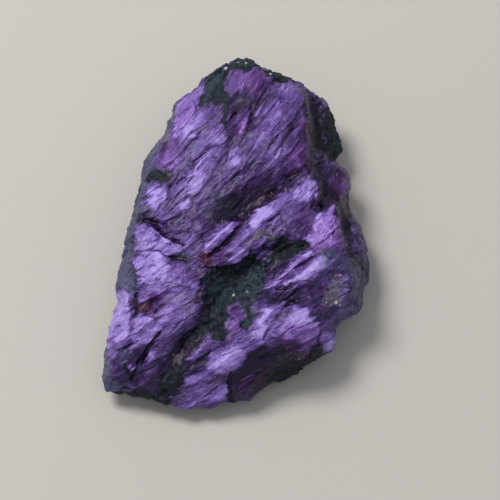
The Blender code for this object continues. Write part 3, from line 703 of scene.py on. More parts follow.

# Cracks and grooves, cut into the skin and darkened with painted shade
SHADED_CRACKS = {
    "long_crevice": Streak(1.0, (
        (252, 212), (245, 219), (240, 227), (232, 237), (226, 243), (217, 250), (209, 256)), 2.0, -0.45),
    "crevice_head": Streak(0.6, ((262, 204), (250, 210), (238, 222)), 2.2, -0.2),
    "crevice_side": Streak(0.8, ((280, 213), (273, 219), (269, 222)), 1.2, -0.15),
    "crevice_lower": Streak(0.7, ((260, 231), (270, 235), (280, 239), (292, 241)), 1.6, -0.15),
    "pocket_upper_groove": Streak(0.9, (
        (206, 267), (218, 269), (230, 267), (240, 264), (248, 258), (252, 250)), 2.2, -0.3),
    "pocket_left_groove": Streak(0.6, ((208, 272), (203, 282), (200, 292), (197, 302)), 1.8, -0.2),
    "ridge_main": Streak(0.9, ((293, 268), (301, 264), (309, 259), (314, 256)), 1.8, -0.3),
    "ridge_fine": Streak(0.7, ((276, 280), (284, 276), (292, 269)), 1.3, -0.15),
    "ridge_low": Streak(0.9, ((276, 288), (286, 287), (294, 283)), 2.0, -0.25),
    "ridge_foot": Streak(0.8, ((284, 300), (291, 294), (296, 288)), 1.8, -0.2),
    "ridge_foot_groove": Streak(0.8, ((282, 306), (287, 302), (293, 301)), 2.0, -0.2),
    "spur": Streak(0.95, ((334, 231), (328, 236), (322, 241), (315, 245)), 1.0, -0.22),
    "spur_foot": Streak(0.7, ((343, 254), (350, 256), (358, 262), (363, 270)), 1.6, -0.2),
    "top_left_upper": Streak(0.8, ((200, 126), (192, 131), (184, 139)), 1.2, -0.2),
    "top_left_lower": Streak(0.6, ((209, 124), (202, 130), (196, 137), (190, 141)), 1.1, -0.15),
    "top_left_side": Streak(0.6, ((193, 98), (196, 108), (191, 116), (184, 124)), 1.2, -0.12),
    "cleft_main": Streak(0.8, ((268, 84), (262, 94), (257, 104), (252, 114), (248, 124)), 1.4, -0.2),
    "cleft_fine": Streak(0.7, ((258, 92), (253, 101), (249, 110)), 1.2, -0.15),
    "cleft_low": Streak(0.7, ((252, 118), (248, 127), (243, 137), (238, 146)), 1.2, -0.15),
    "right_face_long": Streak(0.7, ((299, 124), (291, 130), (285, 138), (280, 147), (274, 155)), 1.6, -0.2),
    "right_face_short": Streak(0.7, ((278, 135), (272, 142), (268, 150)), 1.6, -0.15),
    "brow": Streak(0.6, ((242, 100), (236, 108), (231, 118)), 1.6, -0.15),
    "shoulder_lower": Streak(0.7, ((202, 158), (196, 164), (190, 170)), 1.0, -0.15),
    "shoulder_upper": Streak(0.7, ((206, 152), (198, 158), (192, 162)), 1.0, -0.12),
    "shoulder_notch": Streak(0.9, ((193, 176), (190, 180), (188, 184)), 1.2, -0.2),
    "slope_long": Streak(0.8, ((178, 174), (173, 182), (169, 191), (166, 200)), 1.4, -0.2),
    "slope_low": Streak(0.7, ((192, 193), (184, 199), (176, 205), (170, 212)), 1.1, -0.18),
    "slope_fine": Streak(0.7, ((184, 188), (178, 195), (172, 203)), 1.0, -0.15),
    "slope_foot": Streak(0.8, ((183, 214), (176, 219), (172, 223)), 1.7, -0.2),
    "left_corner": Streak(0.6, ((163, 178), (160, 186), (154, 190)), 1.2, -0.1),
    "trough_left": Streak(0.7, ((240, 172), (234, 178), (231, 186)), 1.6, -0.15),
    "trough_right": Streak(0.6, ((274, 172), (266, 180), (258, 186)), 1.6, -0.15),
    "trough_upper": Streak(0.5, ((256, 148), (250, 160), (243, 170)), 1.4, -0.12),
    "middle": Streak(0.5, ((232, 140), (228, 150), (226, 162)), 1.4, -0.12),
    "upper_ledge": Streak(0.9, (
        (136, 221), (146, 220), (155, 224), (161, 231), (168, 237), (178, 241), (184, 246)), 2.0, -0.25),
    "lower_ledge": Streak(0.5, ((138, 251), (150, 250), (160, 251), (168, 256)), 1.2, -0.2),
    "step_gap": Streak(0.9, ((170, 257), (180, 258), (191, 262)), 1.8, -0.3),
    "wall_upper": Streak(0.8, ((132, 256), (133, 246), (134, 236)), 1.3, -0.2),
    "wall_lower": Streak(0.6, ((133, 262), (136, 274), (139, 286)), 1.6, -0.2),
    "wall_foot": Streak(0.7, ((117, 284), (120, 288), (124, 289)), 1.6, -0.1),
    "lower_left_long": Streak(0.9, (
        (163, 330), (157, 337), (152, 344), (149, 351), (144, 357), (139, 366), (134, 376)), 1.8, -0.4),
    "lower_left_side": Streak(0.7, ((142, 338), (134, 342), (127, 346)), 1.4, -0.2),
    "lower_face": Streak(0.6, ((184, 318), (178, 325), (173, 330)), 1.0, -0.15),
    "shelf_upper": Streak(0.7, ((148, 352), (142, 359), (136, 365)), 1.2, -0.2),
    "shelf_lower": Streak(0.8, ((128, 362), (132, 372), (136, 378)), 1.8, -0.2),
    "pit_right": Streak(0.7, ((166, 303), (160, 306), (156, 312)), 1.1, -0.15),
    "pit_left": Streak(0.6, ((137, 288), (138, 300), (142, 310), (150, 314), (158, 316)), 1.2, -0.15),
    "belt_end": Streak(1.0, ((232, 370), (230, 380), (230, 390), (232, 398)), 2.4, -0.4),
    "belt": Streak(0.8, ((212, 348), (204, 356), (194, 362), (186, 370)), 2.0, -0.3),
    "gully": Streak(0.7, ((206, 318), (198, 328), (190, 338), (184, 348), (181, 360)), 2.6, -0.25),
    "belt_foot": Streak(0.5, ((218, 383), (212, 388), (206, 394)), 1.2, -0.15),
    "belt_peak": Streak(0.5, ((282, 306), (276, 316), (268, 326), (262, 338)), 1.6, -0.2),
    "plate": Streak(0.5, ((294, 324), (286, 328), (280, 334)), 1.2, -0.12),
    "knob": Streak(0.7, ((320, 328), (318, 336), (317, 344)), 1.4, -0.2),
}
# Painted highlights on the edges of splinters and ledges, which stand a little proud
EDGES = {
    "band_right": Streak(0.6, ((257, 259), (264, 251), (272, 243), (279, 239)), 1.8, 0.15),
    "band_middle": Streak(0.7, ((228, 262), (236, 256), (244, 250)), 1.6, 0.15),
    "band_left": Streak(0.6, ((206, 248), (216, 239), (226, 230), (234, 222)), 1.8, 0.12),
    "band_upper": Streak(0.6, ((272, 226), (276, 220), (280, 216)), 1.6, 0.12),
    "ridge_low": Streak(0.7, ((266, 288), (276, 282), (286, 273), (297, 264)), 2.0, 0.18),
    "ridge_high": Streak(0.5, ((290, 266), (300, 258), (311, 251)), 1.8, 0.12),
    "ridge_main": Streak(0.9, ((284, 284), (294, 279), (304, 272), (314, 264), (324, 258)), 2.0, 0.2),
    "ridge_foot": Streak(0.5, ((285, 297), (290, 291), (295, 285)), 1.4, 0.1),
    "spur_upper": Streak(0.5, ((314, 219), (323, 212), (332, 207)), 1.2, 0.1),
    "spur_left": Streak(0.6, ((314, 232), (317, 224), (321, 218)), 1.6, 0.1),
    "cleft_left": Streak(0.7, ((243, 80), (241, 87), (239, 93)), 1.3, 0.1),
    "cleft_right": Streak(0.6, ((257, 81), (254, 86), (250, 91)), 1.6, 0.1),
    "cleft_middle": Streak(0.8, ((262, 104), (259, 109), (256, 115)), 1.4, 0.12),
    "cleft_fine": Streak(0.7, ((257, 104), (254, 109), (252, 113)), 1.1, 0.1),
    "cleft_low": Streak(0.7, ((248, 117), (244, 124), (240, 133)), 1.7, 0.1),
    "right_face_low": Streak(0.7, ((281, 148), (278, 155), (275, 160)), 1.4, 0.1),
    "right_face_left": Streak(0.6, ((264, 133), (258, 141), (253, 149)), 1.8, 0.1),
    "shoulder": Streak(0.6, ((203, 160), (198, 166), (194, 173)), 1.4, 0.12),
    "left_chip": Streak(0.9, ((190, 200), (186, 205), (182, 210)), 1.8, 0.15),
    "upper_ledge": Streak(0.6, ((145, 226), (153, 229), (160, 234), (166, 240), (174, 244)), 1.4, 0.15),
    "lower_ledge": Streak(0.6, ((139, 255), (150, 253), (160, 254)), 1.3, 0.12),
    "shelf": Streak(0.6, ((140, 362), (136, 366), (131, 368)), 1.2, 0.1),
    "lower_edge_upper_shine": Streak(0.6, ((256, 371), (248, 374), (240, 379)), 1.2, 0.12),
    "lower_edge_lower_shine": Streak(0.5, ((252, 376), (244, 380), (238, 386)), 1.0, 0.1),
    "plate": Streak(0.7, ((300, 319), (306, 319), (312, 319)), 1.1, 0.1),
}
# Rusty cracks
RUSTS = {
    "rusty": Streak(0.9, ((191, 278), (199, 275), (207, 271), (213, 266)), 1.6, -0.2),
}
STREAKS = {Tone.SHADE: SHADED_CRACKS, Tone.LIGHT: EDGES, Tone.WINE: RUSTS}

# Pale crystals and flecks: column, row and radius in pixels
FLECKS = {
    "left_rim": (225, 63, 2.6), "nub_left": (238, 57, 1.4), "nub_middle": (246, 58, 1.8),
    "right_rim": (271, 70, 2.0), "bright_facet": (129, 332, 1.5), "tan_large": (334, 301, 3.0),
    "tan_small": (338, 304, 1.8), "lobe_edge": (339, 275, 1.4), "band_spot": (248, 241, 1.4),
    "band_right": (284, 229, 1.8), "pocket_right": (247, 291, 2.0), "pocket_middle": (234, 294, 2.0),
    "pocket_top": (233, 272, 1.2), "lower_step": (160, 277, 1.6), "under_pit": (164, 319, 1.6),
    "belt_lower_left": (207, 394, 1.3), "belt_lower_right": (221, 396, 1.5), "trough": (240, 207, 1.0),
    "corner_right": (298, 357, 1.6), "corner_left": (286, 355, 1.0), "shoulder": (219, 120, 1.2),
    "wall": (174, 120, 1.2), "tan_left": (325, 301, 1.6), "gully_bank": (186, 316, 1.4),
}


@dataclass(frozen=True)
class Fray:
    """How the edges of patches and streaks are frayed along the grain.

    Attributes:
        along: The noise that pulls an edge along the grain.
        across: The noise that pulls it across.
        reach: How many pixels the strongest noise pulls.
        across_share: The pull across, against the pull along.
    """

    view: PhotoView
    grain: Grain
    along: Ripple = Ripple((0.7, 1.6, 1.2))
    across: Ripple = Ripple((0.5, 1.0, 0.8), 17.3)
    reach: float = 2.0
    across_share: float = 0.45

    def pull(self, points: np.ndarray) -> np.ndarray:
        """The way edges are frayed at each point.

        Args:
            points: One row for each point, in metres.

        Returns:
            One row for each point, in pixels.
        """
        places = self.grain.lengths(points)
        angle = self.grain.angle(self.view.pixels_of(points)[:, 1])
        along = self.reach * self.along.at(places)
        across = self.reach * self.across_share * self.across.at(places)
        cos, sin = np.cos(angle), np.sin(angle)
        return np.stack((along * cos + across * sin, across * cos - along * sin), axis=1)


@dataclass(frozen=True)
class Swell:
    """Broad smooth noise with finer noise on it."""

    broad: Ripple
    fine: Ripple
    fine_share: float

    def at(self, places: np.ndarray) -> np.ndarray:
        """The noise at each place."""
        return self.broad.at(places) + self.fine_share * self.fine.at(places)


@dataclass(frozen=True)
class Spread:
    """How a tone is spread over the sides that the photograph doesn't show.

    Attributes:
        start: The noise at which its share starts.
        end: The noise at which its share is full.
        full: Its share there.
        everywhere: Its share where the noise doesn't reach.
        bands: How much of the bands the noise has.
        lumps: How much of the lumps it has.
    """

    start: float
    end: float
    full: float = 1.0
    everywhere: float = 0.0
    bands: float = 1.0
    lumps: float = 0.0

    def share(self, bands: np.ndarray, lumps: np.ndarray) -> np.ndarray:
        """The tone's share, by the bands and the lumps at each point."""
        swell = self.bands * bands + self.lumps * lumps
        return self.everywhere + self.full * ramp(swell, self.start, self.end)


BANDS = Swell(Ripple((4.0, 4.0, 4.0), 6.0), Ripple((1.4, 1.4, 1.4), 8.0), 0.6)
LUMPS = Swell(Ripple((5.5, 5.5, 5.5), 2.0), Ripple((2.0, 2.0, 2.0), 4.0), 0.5)
HIDDEN = {
    Tone.LIGHT: Spread(0.15, 0.6, full=0.9),
    Tone.SHADE: Spread(0.0, -0.5, full=0.5, everywhere=0.25),
    Tone.PLUM: Spread(0.5, -0.2),
    Tone.SLATE: Spread(0.1, -0.35, bands=0.0, lumps=1.0),
    Tone.OXIDE: Spread(0.12, 0.4, bands=0.0, lumps=1.0),
    Tone.TEAL: Spread(0.3, 0.7, bands=0.0, lumps=1.0),
    Tone.DUST: Spread(0.1, -0.5, full=0.75, lumps=0.3),
    Tone.WINE: Spread(-0.3, -0.6, full=0.5),
}


@dataclass(frozen=True)
class Skin:
    """The finest breaks of the surface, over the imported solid, with heights in millimetres.

    Attributes:
        wall_share: How much of the splinters an upright face keeps.
        crust_share: How much of the splinters a crust keeps.
        dust_crust: How much of a crust dust is.
        chipped: The upward part of the normal where chips start, and where they are full.
        streak_height: How much of the drawn heights of the streaks is used.
        calm_level: The height above the ground at which the skin is fully rough.
    """

    splinters: Splinters = Splinters((0.62, 2.8, 0.9))
    splinter_height: float = 0.13
    slivers: Splinters = Splinters((0.28, 1.5, 0.45), shift=11.0)
    sliver_height: float = 0.055
    wall_share: float = 0.45
    crust_share: float = 0.35
    dust_crust: float = 0.5
    chips: Splinters = Splinters((0.8, 0.8, 0.8), shift=5.0)
    chip_height: float = 0.12
    chipped: tuple[float, float] = (0.55, 0.0)
    crumb: Ripple = Ripple((0.5, 0.5, 0.5), 3.0)
    crumb_height: float = 0.05
    oxide_crumb: Ripple = Ripple((0.42, 0.42, 0.42), 7.0)
    oxide_crumb_height: float = 0.22
    grit: Ripple = Ripple((0.24, 0.24, 0.24), 9.0)
    grit_height: float = 0.03
    streak_height: float = 0.6
    calm_level: float = 1.0


def paint(colour: Colour) -> tuple[float, float, float, float]:
    """A colour with its opacity."""
    return (*colour, 1.0)


class Socket:
    """A value in a node graph, so that shader maths reads as arithmetic."""

    def __init__(self, graph: "NodeGraph", link: bpy.types.NodeSocket) -> None:
        """Wraps an output of a node.

        Args:
            graph: The graph that the node is in.
            link: The output.
        """
        self.graph = graph
        self.link = link

    def __add__(self, other: "Value") -> "Socket":
        """The sum."""
        return self.graph.maths("ADD", self, other)

    __radd__ = __add__

    def __sub__(self, other: "Value") -> "Socket":
        """The difference."""
        return self.graph.maths("SUBTRACT", self, other)

    def __rsub__(self, other: "Value") -> "Socket":
        """The difference from a number."""
        return self.graph.maths("SUBTRACT", other, self)

    def __mul__(self, other: "Value") -> "Socket":
        """The product."""
        return self.graph.maths("MULTIPLY", self, other)

    __rmul__ = __mul__

    def ramp(self, start: float, end: float) -> "Socket":
        """Rises smoothly from 0 to 1.

        Args:
            start: Where it is 0.
            end: Where it is 1.

        Returns:
            The risen value.
        """
        settings = {"interpolation_type": "SMOOTHSTEP"}
        inputs = {"Value": self, "From Min": start, "From Max": end}
        return self.graph.node("ShaderNodeMapRange", settings, inputs, "Result")


Value = Socket | float | Sequence[float]
Weights = tuple[tuple[str, float], ...]


@dataclass(frozen=True)
class Pattern:
    """A noise of the material.

    Attributes:
        cells: Its cells to the millimetre, in each direction.
        detail: How many finer layers it has.
        roughness: How strong the finer layers are.
    """

    cells: tuple[float, float, float]
    detail: float = 0.0
    roughness: float = 0.5


class NodeGraph:
    """The nodes of one material."""

    def __init__(self, name: str) -> None:
        """Makes a material with nothing but its shader and its output.

        Args:
            name: The material's name.
        """
        self.material = bpy.data.materials.new(name)
        self.material.use_nodes = True
        self.tree = self.material.node_tree
        self.shader = self.tree.nodes["Principled BSDF"]

    @staticmethod
    def find(sockets: Iterable[bpy.types.NodeSocket], key: str) -> bpy.types.NodeSocket:
        """Picks a socket.

        Args:
            sockets: The inputs or the outputs of a node.
            key: The socket's identifier or, failing that, its name.

        Returns:
            The socket.
        """
        listed = list(sockets)
        for socket in listed:
            if socket.identifier == key:
                return socket
        return next(socket for socket in listed if socket.name == key)

    def feed(self, node: bpy.types.Node, inputs: Mapping[str, Value]) -> None:
        """Sets or links a node's inputs.

        Args:
            node: The node.
            inputs: A value, or another node's socket, for each input.
        """
        for key, value in inputs.items():
            target = self.find(node.inputs, key)
            if isinstance(value, Socket):
                self.tree.links.new(value.link, target)
            else:
                target.default_value = value

    def node(self, kind: str, settings: Mapping[str, object], inputs: Mapping[str, Value],
             output: str) -> Socket:
        """Adds a node.

        Args:
            kind: The node's type.
            settings: What is set before its inputs, such as its operation or its ramp's stops.
            inputs: A value, or another node's socket, for each input.
            output: The output to use.

        Returns:
            The chosen output.
        """
        node = self.tree.nodes.new(kind)
        for key, value in settings.items():
            if key == "stops":
                elements = node.color_ramp.elements
                while len(elements) < len(value):
                    elements.new(1)
                for element, (position, colour) in zip(elements, value):
                    element.position = position
                    element.color = paint(colour)
            else:
                setattr(node, key, value)
        self.feed(node, inputs)
        return Socket(self, self.find(node.outputs, output))

    def maths(self, operation: str, first: Value, second: Value) -> Socket:
        """A Math node on two values."""
        inputs = {"Value": first, "Value_001": second}
        return self.node("ShaderNodeMath", {"operation": operation}, inputs, "Value")

    def field(self, name: str, output: str = "Fac") -> Socket:
        """A field that the mesh carries: of numbers or, with the output Vector, of places."""
        return self.node("ShaderNodeAttribute", {"attribute_name": name}, {}, output)

    def stretched(self, places: Socket, cells: Sequence[float]) -> Socket:
        """Places counted in cells: how many to the millimetre, in each direction."""
        inputs = {"Vector": places, "Vector_001": cells}
        return self.node("ShaderNodeVectorMath", {"operation": "MULTIPLY"}, inputs, "Vector")

    def clouds(self, places: Socket, pattern: Pattern) -> Socket:
        """Cloudy noise.

        Args:
            places: Where it is read, in millimetres.
            pattern: Its cells and its finer layers.

        Returns:
            The noise, from about -0.5 to 0.5.
        """
        inputs = {"Vector": self.stretched(places, pattern.cells), "Scale": 1.0,
                  "Detail": pattern.detail, "Roughness": pattern.roughness}
        return self.node("ShaderNodeTexNoise", {}, inputs, "Fac") - 0.5

    def cells(self, places: Socket, pattern: Pattern) -> Socket:
        """One random number to each cell of a cracked pattern.

        Args:
            places: Where it is read, in millimetres.
            pattern: Its cells.

        Returns:
            The numbers, from -0.5 to 0.5.
        """
        inputs = {"Vector": self.stretched(places, pattern.cells), "Scale": 1.0}
        colour = self.node("ShaderNodeTexVoronoi", {}, inputs, "Color")
        return self.node("ShaderNodeSeparateColor", {}, {"Color": colour}, "Red") - 0.5

    def blend(self, first: Value, second: Value, share: Value) -> Socket:
        """A colour between two, by the share of the second."""
        inputs = {"Factor_Float": share, "A_Color": first, "B_Color": second}
        return self.node("ShaderNodeMix", {"data_type": "RGBA"}, inputs, "Result_Color")

    def colours(self, stops: Stops, level: Socket) -> Socket:
        """The colour of one tone at each level of brightness."""
        return self.node("ShaderNodeValToRGB", {"stops": stops}, {"Fac": level}, "Color")


@dataclass(frozen=True)
class Recipe:
    """A sum of fields and noises.

    Attributes:
        weights: The name and the weight of each part.
        base: What the sum is without them.
    """

    weights: Weights
    base: float | None = None

    def total(self, parts: Mapping[str, Socket]) -> Socket:
        """Adds the parts up.

        Args:
            parts: Every field and noise, under its name.

        Returns:
            The sum.
        """
        total = self.base
        for name, weight in self.weights:
            part = parts[name] * weight
            total = part if total is None else total + part
        return total


@dataclass(frozen=True)
class Edge:
    """Where one tone gives way to another, with noise in its share.

    Attributes:
        start: The share, with its noise, where the tone starts.
        end: The share where it covers the other.
        noise: The name and the weight of each noise.
    """

    start: float
    end: float
    noise: Weights

    def share(self, plain: Socket, parts: Mapping[str, Socket]) -> Socket:
        """How much the tone covers.

        Args:
            plain: Its share without noise.
            parts: Every field and noise, under its name.

        Returns:
            Its share, from 0 to 1.
        """
        for name, weight in self.noise:
            plain = plain + parts[name] * weight
        return plain.ramp(self.start, self.end)


@dataclass(frozen=True)
class PurpuriteFinish:
    """Violet manganese phosphate with its weathering crusts. Colours are linear light.

    Attributes:
        dust_lift: How much brighter dust is than crust.
        dust_cover: The share of dust where it is thickest.
        teal_lift: How much teal brightens oxide.
        oxide_drop: How much darker oxide is than crust.
        index: The index of refraction, low for a dull lustre.
    """

    # The dark and bright ends of the violet and plum ramps serve painted shade and painted highlights as
    # well as darker and paler violet
    violet: Stops = (
        (0.00, (0.013, 0.005, 0.030)),
        (0.22, (0.038, 0.016, 0.085)),
        (0.42, (0.085, 0.043, 0.185)),
        (0.60, (0.150, 0.083, 0.320)),
        (0.78, (0.260, 0.160, 0.530)),
        (1.00, (0.440, 0.330, 0.790)),
    )
    plum: Stops = (
        (0.00, (0.016, 0.004, 0.028)),
        (0.22, (0.048, 0.013, 0.090)),
        (0.42, (0.105, 0.035, 0.195)),
        (0.60, (0.180, 0.075, 0.340)),
        (0.78, (0.290, 0.150, 0.550)),
        (1.00, (0.480, 0.310, 0.800)),
    )
    slate: Stops = (
        (0.00, (0.020, 0.020, 0.040)),
        (0.40, (0.052, 0.052, 0.122)),
        (0.70, (0.105, 0.120, 0.235)),
        (1.00, (0.230, 0.270, 0.420)),
    )
    oxide: Stops = (
        (0.00, (0.004, 0.007, 0.012)),
        (0.35, (0.012, 0.022, 0.036)),
        (0.65, (0.040, 0.062, 0.088)),
        (1.00, (0.150, 0.190, 0.240)),
    )
    dust: Stops = (
        (0.00, (0.060, 0.050, 0.060)),
        (0.50, (0.170, 0.150, 0.165)),
        (1.00, (0.420, 0.380, 0.340)),
    )
    wine: Colour = (0.055, 0.008, 0.040)
    crystal: Colour = (0.55, 0.56, 0.58)

    fibres: Pattern = Pattern((3.4, 0.42, 1.4), 3, 0.62)
    strands: Pattern = Pattern((7.5, 0.9, 3.0), 2, 0.6)
    slivers: Pattern = Pattern((2.6, 0.34, 1.1))
    facets: Pattern = Pattern((1.1, 0.32, 0.6))
    clouds: Pattern = Pattern((0.62, 0.28, 0.5), 3, 0.6)
    specks: Pattern = Pattern((4.2, 4.2, 4.2), 3, 0.65)
    crust: Pattern = Pattern((1.5, 1.5, 1.5), 4, 0.68)

    # In these levels, level brings the painted light and shade of the patches and streaks, and relief
    # painted shade in clefts and painted highlights on edges; the noises are the stone's own mottling
    violet_level: Recipe = Recipe((("level", 0.50), ("relief", 0.16), ("fibres", 0.66), ("strands", 0.34),
                                   ("slivers", 0.13), ("facets", 0.12), ("clouds", 0.55),
                                   ("specks", 0.22)), 0.42)
    crust_level: Recipe = Recipe((("relief", 0.18), ("crust", 0.85), ("specks", 0.5), ("level", 0.06)), 0.38)
    slate_level: Recipe = Recipe((("level", 0.25), ("relief", 0.10), ("crust", 0.5), ("fibres", 0.25)), 0.50)
    slate_edge: Edge = Edge(0.25, 0.75, (("crust", 0.7), ("fibres", 0.3)))
    dust_edge: Edge = Edge(0.42, 0.85, (("specks", 1.1), ("crust", 0.8)))
    dust_lift: float = 0.12
    dust_cover: float = 0.6
    wine_edge: Edge = Edge(0.2, 0.9, (("crust", 0.6),))
    oxide_edge: Edge = Edge(0.32, 0.62, (("crust", 0.7), ("fibres", 0.25)))
    teal_lift: float = 0.40
    oxide_drop: float = 0.24
    crystal_edge: Edge = Edge(0.3, 0.7, (("specks", 0.5),))

    rough: Recipe = Recipe((("oxide_share", 0.22), ("dust_share", 0.25), ("fibres", 0.25)), 0.40)
    height: Recipe = Recipe((("fibres", 0.6), ("strands", 0.35), ("specks", 0.35), ("slivers", 0.25)))
    bump_strength: float = 0.55
    bump_height: float = 0.06 * MM
    index: float = 1.36

    def parts(self, graph: NodeGraph) -> dict[str, Socket]:
        """Reads the mesh's fields and makes the noises.

        Args:
            graph: The graph that they go into.

        Returns:
            Every field and noise, under its name.
        """
        grain = graph.field("grain", "Vector")
        body = graph.field("body", "Vector")
        parts = {name: graph.field(name) for name in ("level", "relief")}
        for name in ("fibres", "strands", "clouds"):
            parts[name] = graph.clouds(grain, getattr(self, name))
        for name in ("slivers", "facets"):
            parts[name] = graph.cells(grain, getattr(self, name))
        for name in ("specks", "crust"):
            parts[name] = graph.clouds(body, getattr(self, name))
        return parts

    def material(self) -> bpy.types.Material:
        """Makes the stone's material from the fields that its mesh carries.

        Returns:
            The material.
        """
        graph = NodeGraph("purpurite")
        parts = self.parts(graph)
        violet_level = self.violet_level.total(parts)
        crust_level = self.crust_level.total(parts)
        colour = graph.blend(graph.colours(self.violet, violet_level),
                             graph.colours(self.plum, violet_level), graph.field("plum"))
        slate = graph.colours(self.slate, self.slate_level.total(parts))
        colour = graph.blend(colour, slate, self.slate_edge.share(graph.field("slate"), parts))
        dust_share = self.dust_edge.share(graph.field("dust"), parts)
        dust = graph.colours(self.dust, crust_level + self.dust_lift)
        colour = graph.blend(colour, dust, dust_share * self.dust_cover)
        colour = graph.blend(colour, paint(self.wine), self.wine_edge.share(graph.field("wine"), parts))
        oxide_share = self.oxide_edge.share(graph.field("oxide"), parts)
        oxide_level = crust_level + graph.field("teal") * self.teal_lift - self.oxide_drop
        colour = graph.blend(colour, graph.colours(self.oxide, oxide_level), oxide_share)
        crystal_share = self.crystal_edge.share(graph.field("crystal"), parts)
        colour = graph.blend(colour, paint(self.crystal), crystal_share)

        rough = self.rough.total({**parts, "oxide_share": oxide_share, "dust_share": dust_share})
        bumps = {"Height": self.height.total(parts), "Strength": self.bump_strength,
                 "Distance": self.bump_height}
        normal = graph.node("ShaderNodeBump", {}, bumps, "Normal")
        graph.feed(graph.shader, {"Base Color": colour, "Roughness": rough, "Normal": normal,
                                  "IOR": self.index, "Metallic": 0.0})
        return graph.material


def modify(obj: bpy.types.Object, kind: str, **settings: object) -> None:
    """Adds a modifier to an object and bakes it into its mesh.

    Args:
        obj: The object.
        kind: The modifier's type.
        settings: What is set on it.
    """
    modifier = obj.modifiers.new(kind.title(), kind)
    for name, value in settings.items():
        setattr(modifier, name, value)
    graph = bpy.context.evaluated_depsgraph_get()
    mesh = bpy.data.meshes.new_from_object(obj.evaluated_get(graph), preserve_all_data_layers=True,
                                           depsgraph=graph)
    obj.modifiers.clear()
    obj.data = mesh


def gathered(elements: bpy.types.bpy_prop_collection, name: str) -> np.ndarray:
    """One property of three numbers of every element of a mesh.

    Args:
        elements: The mesh's points or normals.
        name: The property.

    Returns:
        One row for each element.
    """
    found = np.empty(3 * len(elements), np.float32)
    elements.foreach_get(name, found)
    return found.reshape(-1, 3).astype(float)


def settle(mesh: bpy.types.Mesh, points: np.ndarray) -> None:
    """Moves the points of a mesh, those below the ground up to it.

    Args:
        mesh: The mesh.
        points: One row for each of its points, in metres. They are raised here too.
    """
    points[:, 2] = np.maximum(points[:, 2], 0)
    mesh.vertices.foreach_set("co", points.astype(np.float32).ravel())
    mesh.update()


def carry(mesh: bpy.types.Mesh, name: str, values: np.ndarray) -> None:
    """Gives a mesh a field of numbers or places.

    Args:
        mesh: The mesh.
        name: The field's name, by which the material reads it.
        values: A number or a row of three for each of the mesh's points.
    """
    kind, key = ("FLOAT_VECTOR", "vector") if values.ndim == 2 else ("FLOAT", "value")
    field = mesh.attributes.new(name, kind, "POINT")
    field.data.foreach_set(key, values.astype(np.float32).ravel())


@dataclass(frozen=True)
class Bare:
    """The points of the stone before its skin, one row for each, and how they are seen.

    Attributes:
        points: Where they are, in metres.
        normals: Which way their surface faces.
        pixels: Where they show in the photograph.
        pull: The way edges are frayed there, in pixels.
        seen: How much they face the photograph, from 0 to 1.
    """

    points: np.ndarray
    normals: np.ndarray
    pixels: np.ndarray
    pull: np.ndarray
    seen: np.ndarray


